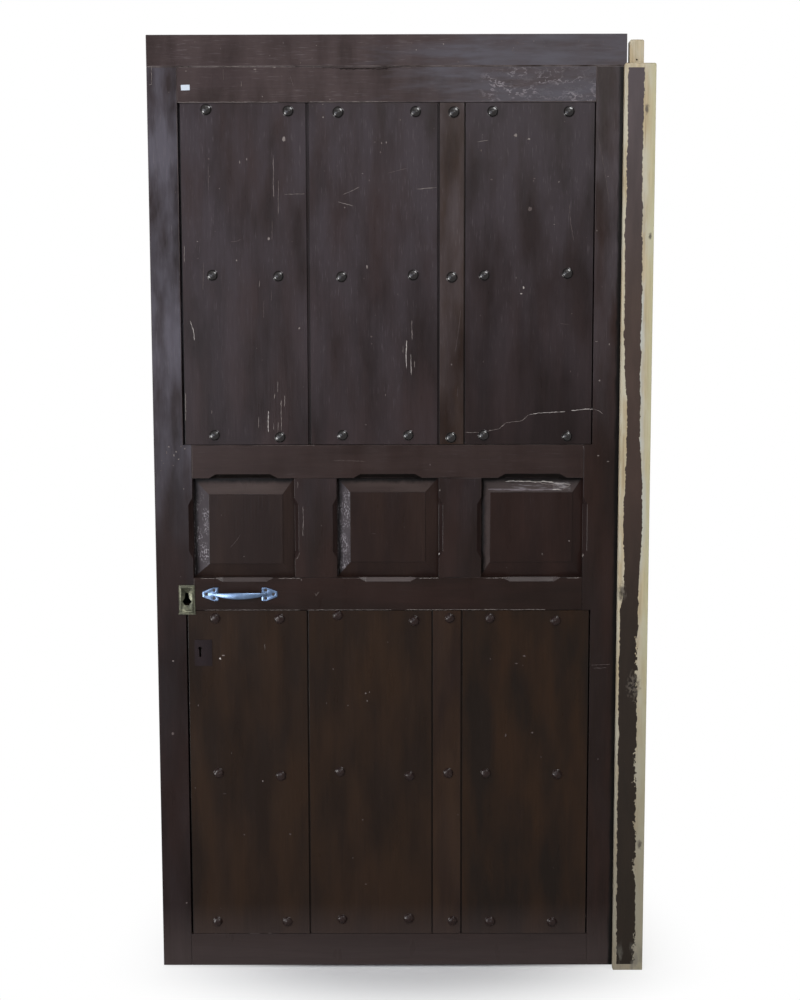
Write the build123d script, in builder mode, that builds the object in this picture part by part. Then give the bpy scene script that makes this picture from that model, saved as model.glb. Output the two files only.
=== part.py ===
from build123d import *
import os

# A studded plank door with its hinge jamb, at real size in millimetres, +Z up.
# The viewer faces the closed door from -Y, with +X to the right.
# The origin is the middle of the jamb's foot, and the door opens away from the viewer.

# Leaf, and how it hangs in the jamb
leaf_width = 1020.0
leaf_height = 2050.0
leaf_thickness = 40.0
floor_gap = 5.0
hinge_gap = 5.5

# Jamb: a rebated post whose stop stands in front of the leaf
jamb_width = 54.5
jamb_shoulder_drop = 63.0
stop_thickness = 16.0
stop_clearance = 1.5
stop_overlap = 6.4
jamb_arris = 3.0
head_tenon_width = 30.0
head_tenon_depth = 26.0
head_tenon_height = 51.0
head_tenon_chamfer = 3.0
peg_hole_radius = 2.0
peg_hole_height = 8.5

# Framing timbers, by what shows of them on the face
stile_width = 82.5
stile_rebate_width = 18.5
top_board_height = 67.0
top_board_bevel = 1.6
top_rail_height = 74.0
lock_rail_height = 73.0
bottom_rail_height = 73.0
lower_field_height = 741.0
panel_opening_height = 219.5
muntin_width = 93.0
rail_lap = 45.0
ledge_height = 90.0

# Mortise and tenon joints
tenon_thickness = 10.0
tenon_setback = 3.0
tenon_length = 55.0
ledge_tenon_length = 22.0
muntin_tenon_length = 25.0
stub_tenon_length = 30.0
stub_tenon_inset = 16.0
tenon_end_wood = 25.0
tenon_clearance = 0.25
mortise_end_gap = 1.0

# Raised and fielded panels, and the stopped chamfers round their openings
panel_sinking = 17.0
panel_tongue_thickness = 8.0
panel_groove_depth = 10.0
panel_tenon_shoulder = 12.0
panel_clearance = 0.4
panel_margin = 30.0
panel_bevel_rise = 5.0
panel_field_step = 1.8
panel_margin_shares = {
    "left": {"left": 1.12, "right": 0.88, "top": 1.2, "bottom": 0.96},
    "middle": {"left": 0.93, "right": 0.95, "top": 1.03, "bottom": 1.08},
    "right": {"left": 0.64, "right": 0.73, "top": 1.06, "bottom": 1.06},
}
chamfer_width = 9.5
chamfer_stop_length = 17.0
head_chamfer_share = 0.68
sill_chamfer_share = 0.58
side_chamfer_share = 0.62

# Planks, tongued together, with their uneven joints
plank_thickness = 20.0
plank_setback = 1.0
plank_end_gap = 1.0
plank_gap = 5.0
plank_tongue_thickness = 6.0
plank_tongue_length = 8.0
plank_tongue_clearance = 0.3
upper_joint_shares = (0.0, 0.31, 0.624, 0.687, 1.0)
lower_joint_shares = (0.0, 0.301, 0.609, 0.682, 1.0)
upper_gap_shares = (1.0, 1.1, 0.8, 0.5, 0.5)
lower_gap_shares = (0.8, 0.6, 0.4, 0.6, 0.6)

# Hand-driven studs: places across each plank, and how far each strays from its row
stud_head_diameter = 23.0
stud_head_height = 8.5
stud_head_rim = 1.2
stud_shank_width = 5.0
stud_shank_length = 35.0
stud_clearance = 0.1
stud_row_inset = 19.0
foot_stud_row_inset = 30.5
upper_stud_shares = (
    ((0.24, 0.77), (0.25, 0.77), (0.49,), (0.15, 0.81)),
    ((0.24, 0.77), (0.25, 0.81), (0.51,), (0.15, 0.80)),
    ((0.21, 0.86), (0.23, 0.83), (0.58,), (0.21, 0.80)),
)
upper_stud_stray_shares = (
    ((0.10, -0.10), (0.08, 0.07), (-0.15,), (0.06, -0.06)),
    ((0.06, -0.04), (-0.10, 0.05), (-0.16,), (0.00, 0.16)),
    ((0.22, 0.06), (-0.06, -0.03), (-0.08,), (-0.02, -0.05)),
)
lower_stud_shares = (
    ((0.21, 0.81), (0.26, 0.81), (0.72,), (0.23, 0.73)),
    ((0.24, 0.77), (0.25, 0.82), (0.56,), (0.19, 0.76)),
    ((0.23, 0.77), (0.24, 0.86), (0.61,), (0.22, 0.74)),
)
lower_stud_stray_shares = (
    ((-0.06, -0.10), (0.16, 0.24), (-0.02,), (-0.06, -0.15)),
    ((0.10, -0.16), (0.24, -0.20), (0.06,), (0.04, -0.07)),
    ((0.07, 0.01), (0.32, -0.22), (0.03,), (0.03, -0.24)),
)

# Pull handle of pressed steel, on the lower lock rail
handle_length = 164.0
handle_from_edge = 184.0
handle_rise_share = 0.5
handle_plate_length = 34.0
handle_plate_height = 29.5
handle_plate_tip = 12.0
handle_plate_thickness = 2.0
handle_plate_corner = 2.0
handle_bow = 27.0
handle_neck_width = 8.0
handle_neck_thickness = 3.5
handle_grip_width = 14.6
handle_grip_thickness = 6.5
handle_neck_inset = 11.0
handle_tip_hole = 8.4
handle_back_hole = 25.4
handle_hole_spread = 9.0

# Wood screws
screw_shank_radius = 1.9
screw_head_radius = 3.6
screw_head_height = 1.6
handle_screw_length = 18.0
hinge_screw_length = 25.0
case_screw_length = 14.0

# Brass escutcheon and the key's way through the stile
escutcheon_width = 35.5
escutcheon_height = 64.6
escutcheon_thickness = 1.8
escutcheon_corner = 1.5
escutcheon_from_edge = 67.0
escutcheon_above_rail = 24.8
escutcheon_rim_inset = 4.0
escutcheon_rim_width = 2.2
escutcheon_rim_height = 1.2
escutcheon_lip_height = 2.0
escutcheon_lip_overhang = 1.6
key_slot_stem_width = 9.0
key_slot_width = 21.0
key_slot_height = 29.0
key_slot_drop = 12.8
key_slot_shoulder_share = 0.55
key_slot_foot_share = 0.3
key_slot_foot_width_share = 0.45
key_passage_margin = 1.5

# Old keyhole plate on the lower left plank
old_plate_width = 38.7
old_plate_height = 58.5
old_plate_thickness = 1.0
old_plate_from_edge = 101.0
old_plate_below_rail = 95.0
old_keyhole_radius = 4.0
old_keyhole_slot_width = 4.5
old_keyhole_slot_length = 19.0
old_keyhole_offset = 7.0
old_keyhole_rise = 10.0
old_keyhole_depth = 16.0

# Rim lock on the back of the lock stile
case_width = 112.0
case_height = 92.0
case_depth = 22.0
case_wall = 2.0
case_corner = 3.0
case_screw_inset = 9.0
case_boss_radius = 6.0
case_below_key = 44.0
bolt_height = 18.0
bolt_thickness = 9.0
bolt_length = 76.0
bolt_clearance = 0.2
bolt_above_key = 20.0
bolt_rib_thickness = 4.0
bolt_talon_width = 12.0
bolt_talon_depth = 6.0

# Butt hinges in the gap between leaf and jamb
hinge_height = 100.0
hinge_plate_width = 32.0
hinge_plate_thickness = 2.5
hinge_knuckle_radius = 6.0
hinge_axis_setback = 6.3
hinge_pin_radius = 3.0
hinge_pin_clearance = 0.05
hinge_knuckle_gap = 0.3
hinge_notch_clearance = 0.6
hinge_pin_head_radius = 5.0
hinge_pin_head_height = 3.0
hinge_screw_back = 20.0
hinge_end_distance = 240.0
hinge_names = ("bottom", "middle", "top")
hinge_screw_shares = (-0.36, 0.0, 0.36)

# Faces and levels that the pieces share, worked out from the sizes above
cut_overrun = 1.0
jamb_depth = stop_thickness + stop_clearance + leaf_thickness
jamb_face = -jamb_depth / 2
rebate_wall = -jamb_width / 2
leaf_right = rebate_wall - hinge_gap
leaf_left = leaf_right - leaf_width
leaf_face = jamb_face + stop_thickness + stop_clearance
leaf_back = leaf_face + leaf_thickness
leaf_bottom = floor_gap
leaf_top = leaf_bottom + leaf_height
jamb_shoulder_height = leaf_top - jamb_shoulder_drop
lock_inner = leaf_left + stile_width
hinge_inner = leaf_right - stile_width
lock_field_edge = lock_inner - stile_rebate_width
hinge_field_edge = hinge_inner + stile_rebate_width
field_width = hinge_field_edge - lock_field_edge
plank_face = leaf_face + plank_setback
rebate_floor = plank_face + plank_thickness
tenon_front = rebate_floor + tenon_setback
tenon_back = tenon_front + tenon_thickness
lower_field_bottom = leaf_bottom + bottom_rail_height
lower_field_top = lower_field_bottom + lower_field_height
opening_bottom = lower_field_top + lock_rail_height
opening_top = opening_bottom + panel_opening_height
upper_field_bottom = opening_top + lock_rail_height
top_board_bottom = leaf_top - top_board_height
upper_field_top = top_board_bottom - top_rail_height
upper_ledge_level = (upper_field_bottom + upper_field_top) / 2
lower_ledge_level = (lower_field_bottom + lower_field_top) / 2
opening_width = (hinge_inner - lock_inner - 2 * muntin_width) / 3
opening_pitch = opening_width + muntin_width
opening_lefts = [lock_inner + opening_pitch * place for place in range(3)]
groove_front = leaf_face + panel_sinking
groove_back = groove_front + panel_tongue_thickness
key_x = leaf_left + escutcheon_from_edge
key_z = lower_field_top + escutcheon_above_rail
tenon_levels = {
    "bottom_rail": (leaf_bottom + tenon_end_wood, lower_field_bottom + rail_lap),
    "lower_lock_rail": (lower_field_top - rail_lap, opening_bottom - panel_tenon_shoulder),
    "upper_lock_rail": (opening_top + panel_tenon_shoulder, upper_field_bottom + rail_lap),
    "top_rail": (upper_field_top - rail_lap, top_board_bottom - tenon_end_wood),
}
ledge_levels = {
    "lower_back_ledge": (lower_ledge_level - ledge_height / 2, lower_ledge_level + ledge_height / 2),
    "upper_back_ledge": (upper_ledge_level - ledge_height / 2, upper_ledge_level + ledge_height / 2),
}


def squared(xs, ys, zs, mode=Mode.ADD):
    """A squared timber, or a squared recess, between its three pairs of faces."""
    with Locations((min(xs), min(ys), min(zs))):
        Box(
            max(xs) - min(xs),
            max(ys) - min(ys),
            max(zs) - min(zs),
            align=(Align.MIN, Align.MIN, Align.MIN),
            mode=mode,
        )


def mortise(xs, zs):
    """A blind mortise in a stile, with a tenon's clearance all round it."""
    squared(
        xs,
        (tenon_front - tenon_clearance, tenon_back + tenon_clearance),
        (zs[0] - tenon_clearance, zs[1] + tenon_clearance),
        Mode.SUBTRACT,
    )


def stopped_chamfer(middle, along, into, length):
    """A 45 degree chamfer with sloping stops, on a face edge that runs along one way."""
    depth = chamfer_width / Vector(into).length
    half = length / 2
    flat_half = half - chamfer_stop_length
    edge_plane = Plane(origin=middle, x_dir=along, z_dir=Vector(along).cross(Vector(into)))
    with BuildSketch(edge_plane) as outline:
        with BuildLine():
            Polyline(
                (-half, -cut_overrun),
                (half, -cut_overrun),
                (half, 0),
                (flat_half, depth),
                (-flat_half, depth),
                (-half, 0),
                close=True,
            )
        make_face()
    extrude(outline.sketch, amount=chamfer_width, both=True, mode=Mode.SUBTRACT)


def panel_room(left):
    """The groove that holds one panel's tongue, and the chamfers round its opening."""
    right = left + opening_width
    middle_x = (left + right) / 2
    middle_z = (opening_bottom + opening_top) / 2
    squared(
        (left - panel_groove_depth, right + panel_groove_depth),
        (groove_front, groove_back),
        (opening_bottom - panel_groove_depth, opening_top + panel_groove_depth),
        Mode.SUBTRACT,
    )
    side_length = panel_opening_height * side_chamfer_share
    head_length = opening_width * head_chamfer_share
    sill_length = opening_width * sill_chamfer_share
    stopped_chamfer((left, leaf_face, middle_z), (0, 0, 1), (-1, 1, 0), side_length)
    stopped_chamfer((right, leaf_face, middle_z), (0, 0, 1), (1, 1, 0), side_length)
    stopped_chamfer((middle_x, leaf_face, opening_top), (1, 0, 0), (0, 1, 1), head_length)
    stopped_chamfer((middle_x, leaf_face, opening_bottom), (1, 0, 0), (0, 1, -1), sill_length)


def plank_edges(joint_shares, gap_shares):
    """The left and right face edges of each plank of a field."""
    joints = [lock_field_edge + field_width * share for share in joint_shares]
    gaps = [plank_gap * share for share in gap_shares]
    starts = [joints[0] + gaps[0]]
    ends = []
    for joint, gap in zip(joints[1:-1], gaps[1:-1]):
        ends.append(joint - gap / 2)
        starts.append(joint + gap / 2)
    ends.append(joints[-1] - gaps[-1])
    return list(zip(starts, ends))


upper_plank_edges = plank_edges(upper_joint_shares, upper_gap_shares)
lower_plank_edges = plank_edges(lower_joint_shares, lower_gap_shares)
upper_stud_levels = (
    upper_field_bottom + stud_row_inset,
    upper_ledge_level,
    upper_field_top - stud_row_inset,
)
lower_stud_levels = (
    lower_field_bottom + foot_stud_row_inset,
    lower_ledge_level,
    lower_field_top - stud_row_inset,
)


def stud_rows(edges, levels, place_shares, stray_shares):
    """The places of a field's studs on the planks' face: row by row, and plank by plank."""
    rows = []
    for level, row_shares, row_strays in zip(levels, place_shares, stray_shares):
        row = []
        for (start, end), shares, strays in zip(edges, row_shares, row_strays):
            places = [
                (start + (end - start) * share, plank_face, level + stud_head_diameter * stray)
                for share, stray in zip(shares, strays)
            ]
            row.append(places)
        rows.append(row)
    return rows


upper_rows = stud_rows(
    upper_plank_edges, upper_stud_levels, upper_stud_shares, upper_stud_stray_shares
)
lower_rows = stud_rows(
    lower_plank_edges, lower_stud_levels, lower_stud_shares, lower_stud_stray_shares
)


def stud_holes(groups):
    """The square holes that groups of studs are driven into."""
    half = stud_shank_width / 2 + stud_clearance
    depth = stud_shank_length + stud_clearance
    for group in groups:
        for x, y, z in group:
            squared((x - half, x + half), (y, y + depth), (z - half, z + half), Mode.SUBTRACT)


def screw_holes(places, into, length):
    """Pilot holes for wood screws that are driven one way from their places."""
    for place in places:
        with BuildSketch(Plane(origin=place, z_dir=into)) as mouth:
            Circle(screw_shank_radius)
        extrude(mouth.sketch, amount=length, mode=Mode.SUBTRACT)


def screws(places, into, length):
    """Countersunk wood screws, flush with their places and driven one way."""
    for place in places:
        seat = Plane(origin=place, x_dir=(0, 0, 1), z_dir=Vector(0, 0, 1).cross(Vector(into)))
        with BuildSketch(seat) as half_section:
            with BuildLine():
                Polyline(
                    (0, 0),
                    (screw_head_radius, 0),
                    (screw_shank_radius, screw_head_height),
                    (screw_shank_radius, length),
                    (0, length),
                    close=True,
                )
            make_face()
        revolve(half_section.sketch, axis=Axis(place, into))


def countersinks(places, into, depth):
    """Countersunk holes through a plate for those screws."""
    for place in places:
        seat = Plane(origin=place, x_dir=(0, 0, 1), z_dir=Vector(0, 0, 1).cross(Vector(into)))
        with BuildSketch(seat) as half_section:
            with BuildLine():
                Polyline(
                    (0, 0),
                    (screw_head_radius, 0),
                    (screw_shank_radius, screw_head_height),
                    (screw_shank_radius, depth),
                    (0, depth),
                    close=True,
                )
            make_face()
        revolve(half_section.sketch, axis=Axis(place, into), mode=Mode.SUBTRACT)


def key_slot(plane):
    """The spade-shaped outline of the escutcheon's key slot, on a plane at its centre."""
    top = key_slot_height - key_slot_drop
    bottom = -key_slot_drop
    shoulder = bottom + key_slot_height * key_slot_shoulder_share
    foot = bottom + key_slot_height * key_slot_foot_share
    stem = key_slot_stem_width / 2
    wide = key_slot_width / 2
    with BuildSketch(plane) as slot:
        with BuildLine():
            RadiusArc((-stem, top - stem), (stem, top - stem), stem)
            Line((stem, top - stem), (stem, shoulder))
            Line((stem, shoulder), (wide, foot))
            Line((wide, foot), (wide * key_slot_foot_width_share, bottom))
            Line((wide * key_slot_foot_width_share, bottom), (-wide * key_slot_foot_width_share, bottom))
            Line((-wide * key_slot_foot_width_share, bottom), (-wide, foot))
            Line((-wide, foot), (-stem, shoulder))
            Line((-stem, shoulder), (-stem, top - stem))
        make_face()
    return slot.sketch


def key_passage():
    """The squared way that the key takes through the timber behind the escutcheon."""
    half = key_slot_width / 2 + key_passage_margin
    squared(
        (key_x - half, key_x + half),
        (leaf_face, leaf_back),
        (
            key_z - key_slot_drop - key_passage_margin,
            key_z - key_slot_drop + key_slot_height + key_passage_margin,
        ),
        Mode.SUBTRACT,
    )


# Screw places
hinge_levels = (
    leaf_bottom + hinge_end_distance,
    leaf_bottom + leaf_height / 2,
    leaf_top - hinge_end_distance,
)
hinge_axis_x = leaf_right + hinge_gap / 2
hinge_axis_y = leaf_back + hinge_axis_setback
hinge_screw_y = leaf_back - hinge_screw_back
hinge_screw_levels = [
    level + hinge_height * share for level in hinge_levels for share in hinge_screw_shares
]
jamb_screw_places = [
    (rebate_wall - hinge_plate_thickness, hinge_screw_y, level) for level in hinge_screw_levels
]
door_screw_places = [
    (leaf_right + hinge_plate_thickness, hinge_screw_y, level) for level in hinge_screw_levels
]
handle_x = leaf_left + handle_from_edge
handle_z = lower_field_top + lock_rail_height * handle_rise_share
handle_screw_places = []
for side in (-1, 1):
    tip_x = handle_x + side * handle_length / 2
    handle_screw_places.append((tip_x - side * handle_tip_hole, handle_z))
    handle_screw_places.append((tip_x - side * handle_back_hole, handle_z + handle_hole_spread))
    handle_screw_places.append((tip_x - side * handle_back_hole, handle_z - handle_hole_spread))
handle_plate_face = leaf_face - handle_plate_thickness
handle_screw_places = [(x, handle_plate_face, z) for x, z in handle_screw_places]
case_bottom = key_z - case_below_key
case_back = leaf_back + case_depth
case_screw_places = [
    (leaf_left + case_x, case_back, case_bottom + case_z)
    for case_x in (case_screw_inset, case_width - case_screw_inset)
    for case_z in (case_screw_inset, case_height - case_screw_inset)
]
case_hole_depth = case_depth + case_screw_length

os.makedirs("parts", exist_ok=True)

# Hinge jamb: one rebated post, with the tenon that went up into the frame's head
with BuildPart() as hinge_jamb:
    with BuildSketch() as post_section:
        with BuildLine():
            Polyline(
                (leaf_right - stop_overlap, jamb_face),
                (jamb_width / 2, jamb_face),
                (jamb_width / 2, leaf_back),
                (rebate_wall, leaf_back),
                (rebate_wall, jamb_face + stop_thickness),
                (leaf_right - stop_overlap, jamb_face + stop_thickness),
                close=True,
            )
        make_face()
    extrude(amount=jamb_shoulder_height)
    top_edges = hinge_jamb.edges().group_by(Axis.Z)[-1]
    chamfer(top_edges, length=jamb_arris)
    squared(
        (rebate_wall, rebate_wall + head_tenon_width),
        (-head_tenon_depth / 2, head_tenon_depth / 2),
        (jamb_shoulder_height - jamb_arris, jamb_shoulder_height + head_tenon_height),
    )
    tenon_edges = hinge_jamb.edges().group_by(Axis.Z)[-1]
    chamfer(tenon_edges, length=head_tenon_chamfer)
    peg_plane = Plane(
        origin=(
            rebate_wall + head_tenon_width / 2,
            head_tenon_depth / 2,
            jamb_shoulder_height + peg_hole_height,
        ),
        z_dir=(0, -1, 0),
    )
    with BuildSketch(peg_plane) as peg_hole:
        Circle(peg_hole_radius)
    extrude(amount=head_tenon_depth, mode=Mode.SUBTRACT)
    screw_holes(jamb_screw_places, (1, 0, 0), hinge_screw_length)
hinge_jamb.part.label = "hinge_jamb"
export_step(hinge_jamb.part, "parts/hinge_jamb.step")


def stile(outer, field_edge, inner, inward):
    """A stile: rebated for the planks, mortised for rails and ledges, stub-tenoned on top."""
    squared((outer, inner), (leaf_face, leaf_back), (leaf_bottom, top_board_bottom))
    for zs in ((leaf_bottom, lower_field_top), (upper_field_bottom, top_board_bottom)):
        squared((field_edge, inner), (leaf_face, rebate_floor), zs, Mode.SUBTRACT)
    for zs in tenon_levels.values():
        mortise((inner, inner - inward * (tenon_length + mortise_end_gap)), zs)
    for zs in ledge_levels.values():
        mortise((inner, inner - inward * (ledge_tenon_length + mortise_end_gap)), zs)
    squared(
        (outer + inward * stub_tenon_inset, field_edge - inward * stub_tenon_inset),
        (tenon_front, tenon_back),
        (top_board_bottom, top_board_bottom + stub_tenon_length),
    )


with BuildPart() as lock_stile:
    stile(leaf_left, lock_field_edge, lock_inner, 1)
    panel_room(opening_lefts[0])
    key_passage()
    screw_holes(case_screw_places, (0, -1, 0), case_hole_depth)
lock_stile.part.label = "lock_stile"
export_step(lock_stile.part, "parts/lock_stile.step")

with BuildPart() as hinge_stile:
    stile(leaf_right, hinge_field_edge, hinge_inner, -1)
    panel_room(opening_lefts[2])
    screw_holes(door_screw_places, (-1, 0, 0), hinge_screw_length)
hinge_stile.part.label = "hinge_stile"
export_step(hinge_stile.part, "parts/hinge_stile.step")

# Top board: covers the stiles' ends and takes their stub tenons
with BuildPart() as top_board:
    squared((leaf_left, leaf_right), (leaf_face, leaf_back), (top_board_bottom, leaf_top))
    front_edges = top_board.edges().filter_by(Axis.X).group_by(Axis.Y)[0]
    chamfer(front_edges.sort_by(Axis.Z)[0], length=top_board_bevel)
    for outer, field_edge, inward in ((leaf_left, lock_field_edge, 1), (leaf_right, hinge_field_edge, -1)):
        squared(
            (
                outer + inward * (stub_tenon_inset - tenon_clearance),
                field_edge - inward * (stub_tenon_inset - tenon_clearance),
            ),
            (tenon_front - tenon_clearance, tenon_back + tenon_clearance),
            (top_board_bottom, top_board_bottom + stub_tenon_length + mortise_end_gap),
            Mode.SUBTRACT,
        )
top_board.part.label = "top_board"
export_step(top_board.part, "parts/top_board.step")


def rail(front_xs, front_zs, back_zs, tenon_zs):
    """A rail: a face part, a deeper lap behind the plank ends, and a tenon at each end."""
    squared(front_xs, (leaf_face, rebate_floor), front_zs)
    squared((lock_inner, hinge_inner), (rebate_floor, leaf_back), back_zs)
    squared(
        (lock_inner - tenon_length, hinge_inner + tenon_length), (tenon_front, tenon_back), tenon_zs
    )


with BuildPart() as top_rail:
    rail(
        (lock_field_edge, hinge_field_edge),
        (upper_field_top, top_board_bottom),
        (upper_field_top - rail_lap, top_board_bottom),
        tenon_levels["top_rail"],
    )
    stud_holes(upper_rows[2])
top_rail.part.label = "top_rail"
export_step(top_rail.part, "parts/top_rail.step")

# Lock rails: their inner edges hold the panels, and their mortises hold the muntins
muntin_tenon_lefts = [left + opening_width + panel_tenon_shoulder for left in opening_lefts[:2]]
muntin_tenon_width = muntin_width - 2 * panel_tenon_shoulder


def muntin_mortises(zs):
    """The mortises in one lock rail's edge for the ends of both muntins."""
    for left in muntin_tenon_lefts:
        mortise((left - tenon_clearance, left + muntin_tenon_width + tenon_clearance), zs)


with BuildPart() as upper_lock_rail:
    rail(
        (lock_inner, hinge_inner),
        (opening_top, upper_field_bottom),
        (opening_top, upper_field_bottom + rail_lap),
        tenon_levels["upper_lock_rail"],
    )
    for opening_left in opening_lefts:
        panel_room(opening_left)
    muntin_mortises((opening_top, opening_top + muntin_tenon_length + mortise_end_gap))
    stud_holes(upper_rows[0])
upper_lock_rail.part.label = "upper_lock_rail"
export_step(upper_lock_rail.part, "parts/upper_lock_rail.step")

with BuildPart() as lower_lock_rail:
    rail(
        (lock_inner, hinge_inner),
        (lower_field_top, opening_bottom),
        (lower_field_top - rail_lap, opening_bottom),
        tenon_levels["lower_lock_rail"],
    )
    for opening_left in opening_lefts:
        panel_room(opening_left)
    muntin_mortises((opening_bottom - muntin_tenon_length - mortise_end_gap, opening_bottom))
    stud_holes(lower_rows[2])
    key_passage()
    screw_holes(handle_screw_places, (0, 1, 0), handle_screw_length)
    screw_holes(case_screw_places, (0, -1, 0), case_hole_depth)
lower_lock_rail.part.label = "lower_lock_rail"
export_step(lower_lock_rail.part, "parts/lower_lock_rail.step")

with BuildPart() as bottom_rail:
    rail(
        (lock_field_edge, hinge_field_edge),
        (leaf_bottom, lower_field_bottom),
        (leaf_bottom, lower_field_bottom + rail_lap),
        tenon_levels["bottom_rail"],
    )
    stud_holes(lower_rows[0])
bottom_rail.part.label = "bottom_rail"
export_step(bottom_rail.part, "parts/bottom_rail.step")

# Muntins between the three panels
for muntin_name, place in (("left_muntin", 0), ("right_muntin", 1)):
    muntin_left = opening_lefts[place] + opening_width
    with BuildPart() as muntin:
        squared(
            (muntin_left, muntin_left + muntin_width),
            (leaf_face, leaf_back),
            (opening_bottom, opening_top),
        )
        squared(
            (muntin_tenon_lefts[place], muntin_tenon_lefts[place] + muntin_tenon_width),
            (tenon_front, tenon_back),
            (opening_bottom - muntin_tenon_length, opening_top + muntin_tenon_length),
        )
        panel_room(opening_lefts[place])
        panel_room(opening_lefts[place + 1])
    muntin.part.label = muntin_name
    export_step(muntin.part, f"parts/{muntin_name}.step")

# Raised and fielded panels: a tongue in the framing's groove, a sloped margin and a flat field
panel_middle_z = (opening_bottom + opening_top) / 2
tongue_reach = panel_groove_depth - panel_clearance
margin_width = opening_width - 2 * panel_clearance
margin_height = panel_opening_height - 2 * panel_clearance
for panel_name, opening_left in zip(("left", "middle", "right"), opening_lefts):
    panel_middle_x = opening_left + opening_width / 2
    margins = {side: panel_margin * share for side, share in panel_margin_shares[panel_name].items()}
    with BuildPart() as panel:
        squared(
            (opening_left - tongue_reach, opening_left + opening_width + tongue_reach),
            (groove_front + panel_clearance, groove_back - panel_clearance),
            (opening_bottom - tongue_reach, opening_top + tongue_reach),
        )
        foot_plane = Plane(
            origin=(panel_middle_x, groove_front + panel_clearance, panel_middle_z),
            x_dir=(1, 0, 0),
            z_dir=(0, -1, 0),
        )
        field_plane = Plane(
            origin=(
                panel_middle_x + (margins["left"] - margins["right"]) / 2,
                groove_front + panel_clearance - panel_bevel_rise,
                panel_middle_z + (margins["bottom"] - margins["top"]) / 2,
            ),
            x_dir=(1, 0, 0),
            z_dir=(0, -1, 0),
        )
        field_size = (
            margin_width - margins["left"] - margins["right"],
            margin_height - margins["top"] - margins["bottom"],
        )
        with BuildSketch(foot_plane):
            Rectangle(margin_width, margin_height)
        with BuildSketch(field_plane):
            Rectangle(*field_size)
        loft(ruled=True)
        with BuildSketch(field_plane):
            Rectangle(*field_size)
        extrude(amount=panel_field_step)
    panel.part.label = f"{panel_name}_raised_panel"
    export_step(panel.part, f"parts/{panel_name}_raised_panel.step")

# Old keyhole plate: iron, painted over with the plank that it is nailed to
old_plate_x = leaf_left + old_plate_from_edge
old_plate_z = lower_field_top - old_plate_below_rail
old_key_plane = Plane(
    origin=(old_plate_x - old_keyhole_offset, plank_face, old_plate_z + old_keyhole_rise),
    x_dir=(1, 0, 0),
    z_dir=(0, -1, 0),
)


def old_keyhole():
    """The round-headed keyhole outline, cut from the plate's face into the plank."""
    with BuildSketch(old_key_plane) as keyhole:
        Circle(old_keyhole_radius)
        Rectangle(
            old_keyhole_slot_width,
            old_keyhole_slot_length,
            align=(Align.CENTER, Align.MAX),
        )
    extrude(keyhole.sketch, amount=old_plate_thickness, mode=Mode.SUBTRACT)
    extrude(keyhole.sketch, amount=-old_keyhole_depth, mode=Mode.SUBTRACT)


with BuildPart() as old_keyhole_plate:
    squared(
        (old_plate_x - old_plate_width / 2, old_plate_x + old_plate_width / 2),
        (plank_face - old_plate_thickness, plank_face),
        (old_plate_z - old_plate_height / 2, old_plate_z + old_plate_height / 2),
    )
    old_keyhole()
old_keyhole_plate.part.label = "old_keyhole_plate"
export_step(old_keyhole_plate.part, "parts/old_keyhole_plate.step")

# Planks: tongued on the right, grooved on the left, laid in the rebates of the framing
tongue_front = plank_face + (plank_thickness - plank_tongue_thickness) / 2
tongue_back = tongue_front + plank_tongue_thickness
plank_names = ("left", "middle", "narrow", "right")


def plank_form(edges, place, field_bottom, field_top):
    """One plank of a field, from its section, cut to length between the rails."""
    start, end = edges[place]
    with BuildSketch(Plane.XY.offset(field_bottom + plank_end_gap)) as section:
        with BuildLine():
            Polyline(
                (start, plank_face),
                (end, plank_face),
                (end, rebate_floor),
                (start, rebate_floor),
                close=True,
            )
        make_face()
        if place < len(edges) - 1:
            tongue_end = edges[place + 1][0] + plank_tongue_length
            with BuildLine():
                Polyline(
                    (end, tongue_front),
                    (tongue_end, tongue_front),
                    (tongue_end, tongue_back),
                    (end, tongue_back),
                    close=True,
                )
            make_face()
        if place > 0:
            groove_end = start + plank_tongue_length + plank_tongue_clearance
            with BuildLine():
                Polyline(
                    (start, tongue_front - plank_tongue_clearance),
                    (groove_end, tongue_front - plank_tongue_clearance),
                    (groove_end, tongue_back + plank_tongue_clearance),
                    (start, tongue_back + plank_tongue_clearance),
                    close=True,
                )
            make_face(mode=Mode.SUBTRACT)
    extrude(section.sketch, amount=field_top - field_bottom - 2 * plank_end_gap)


for place, plank_name in enumerate(plank_names):
    with BuildPart() as plank:
        plank_form(upper_plank_edges, place, upper_field_bottom, upper_field_top)
        stud_holes(row[place] for row in upper_rows)
    plank.part.label = f"upper_{plank_name}_plank"
    export_step(plank.part, f"parts/upper_{plank_name}_plank.step")

for place, plank_name in enumerate(plank_names):
    with BuildPart() as plank:
        plank_form(lower_plank_edges, place, lower_field_bottom, lower_field_top)
        stud_holes(row[place] for row in lower_rows)
        old_keyhole()
    plank.part.label = f"lower_{plank_name}_plank"
    export_step(plank.part, f"parts/lower_{plank_name}_plank.step")

# Back ledges that the middle rows of studs are driven into
for ledge_name, row in (("lower_back_ledge", lower_rows[1]), ("upper_back_ledge", upper_rows[1])):
    with BuildPart() as ledge:
        squared((lock_inner, hinge_inner), (rebate_floor, leaf_back), ledge_levels[ledge_name])
        squared(
            (lock_inner - ledge_tenon_length, hinge_inner + ledge_tenon_length),
            (tenon_front, tenon_back),
            ledge_levels[ledge_name],
        )
        stud_holes(row)
    ledge.part.label = ledge_name
    export_step(ledge.part, f"parts/{ledge_name}.step")

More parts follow.
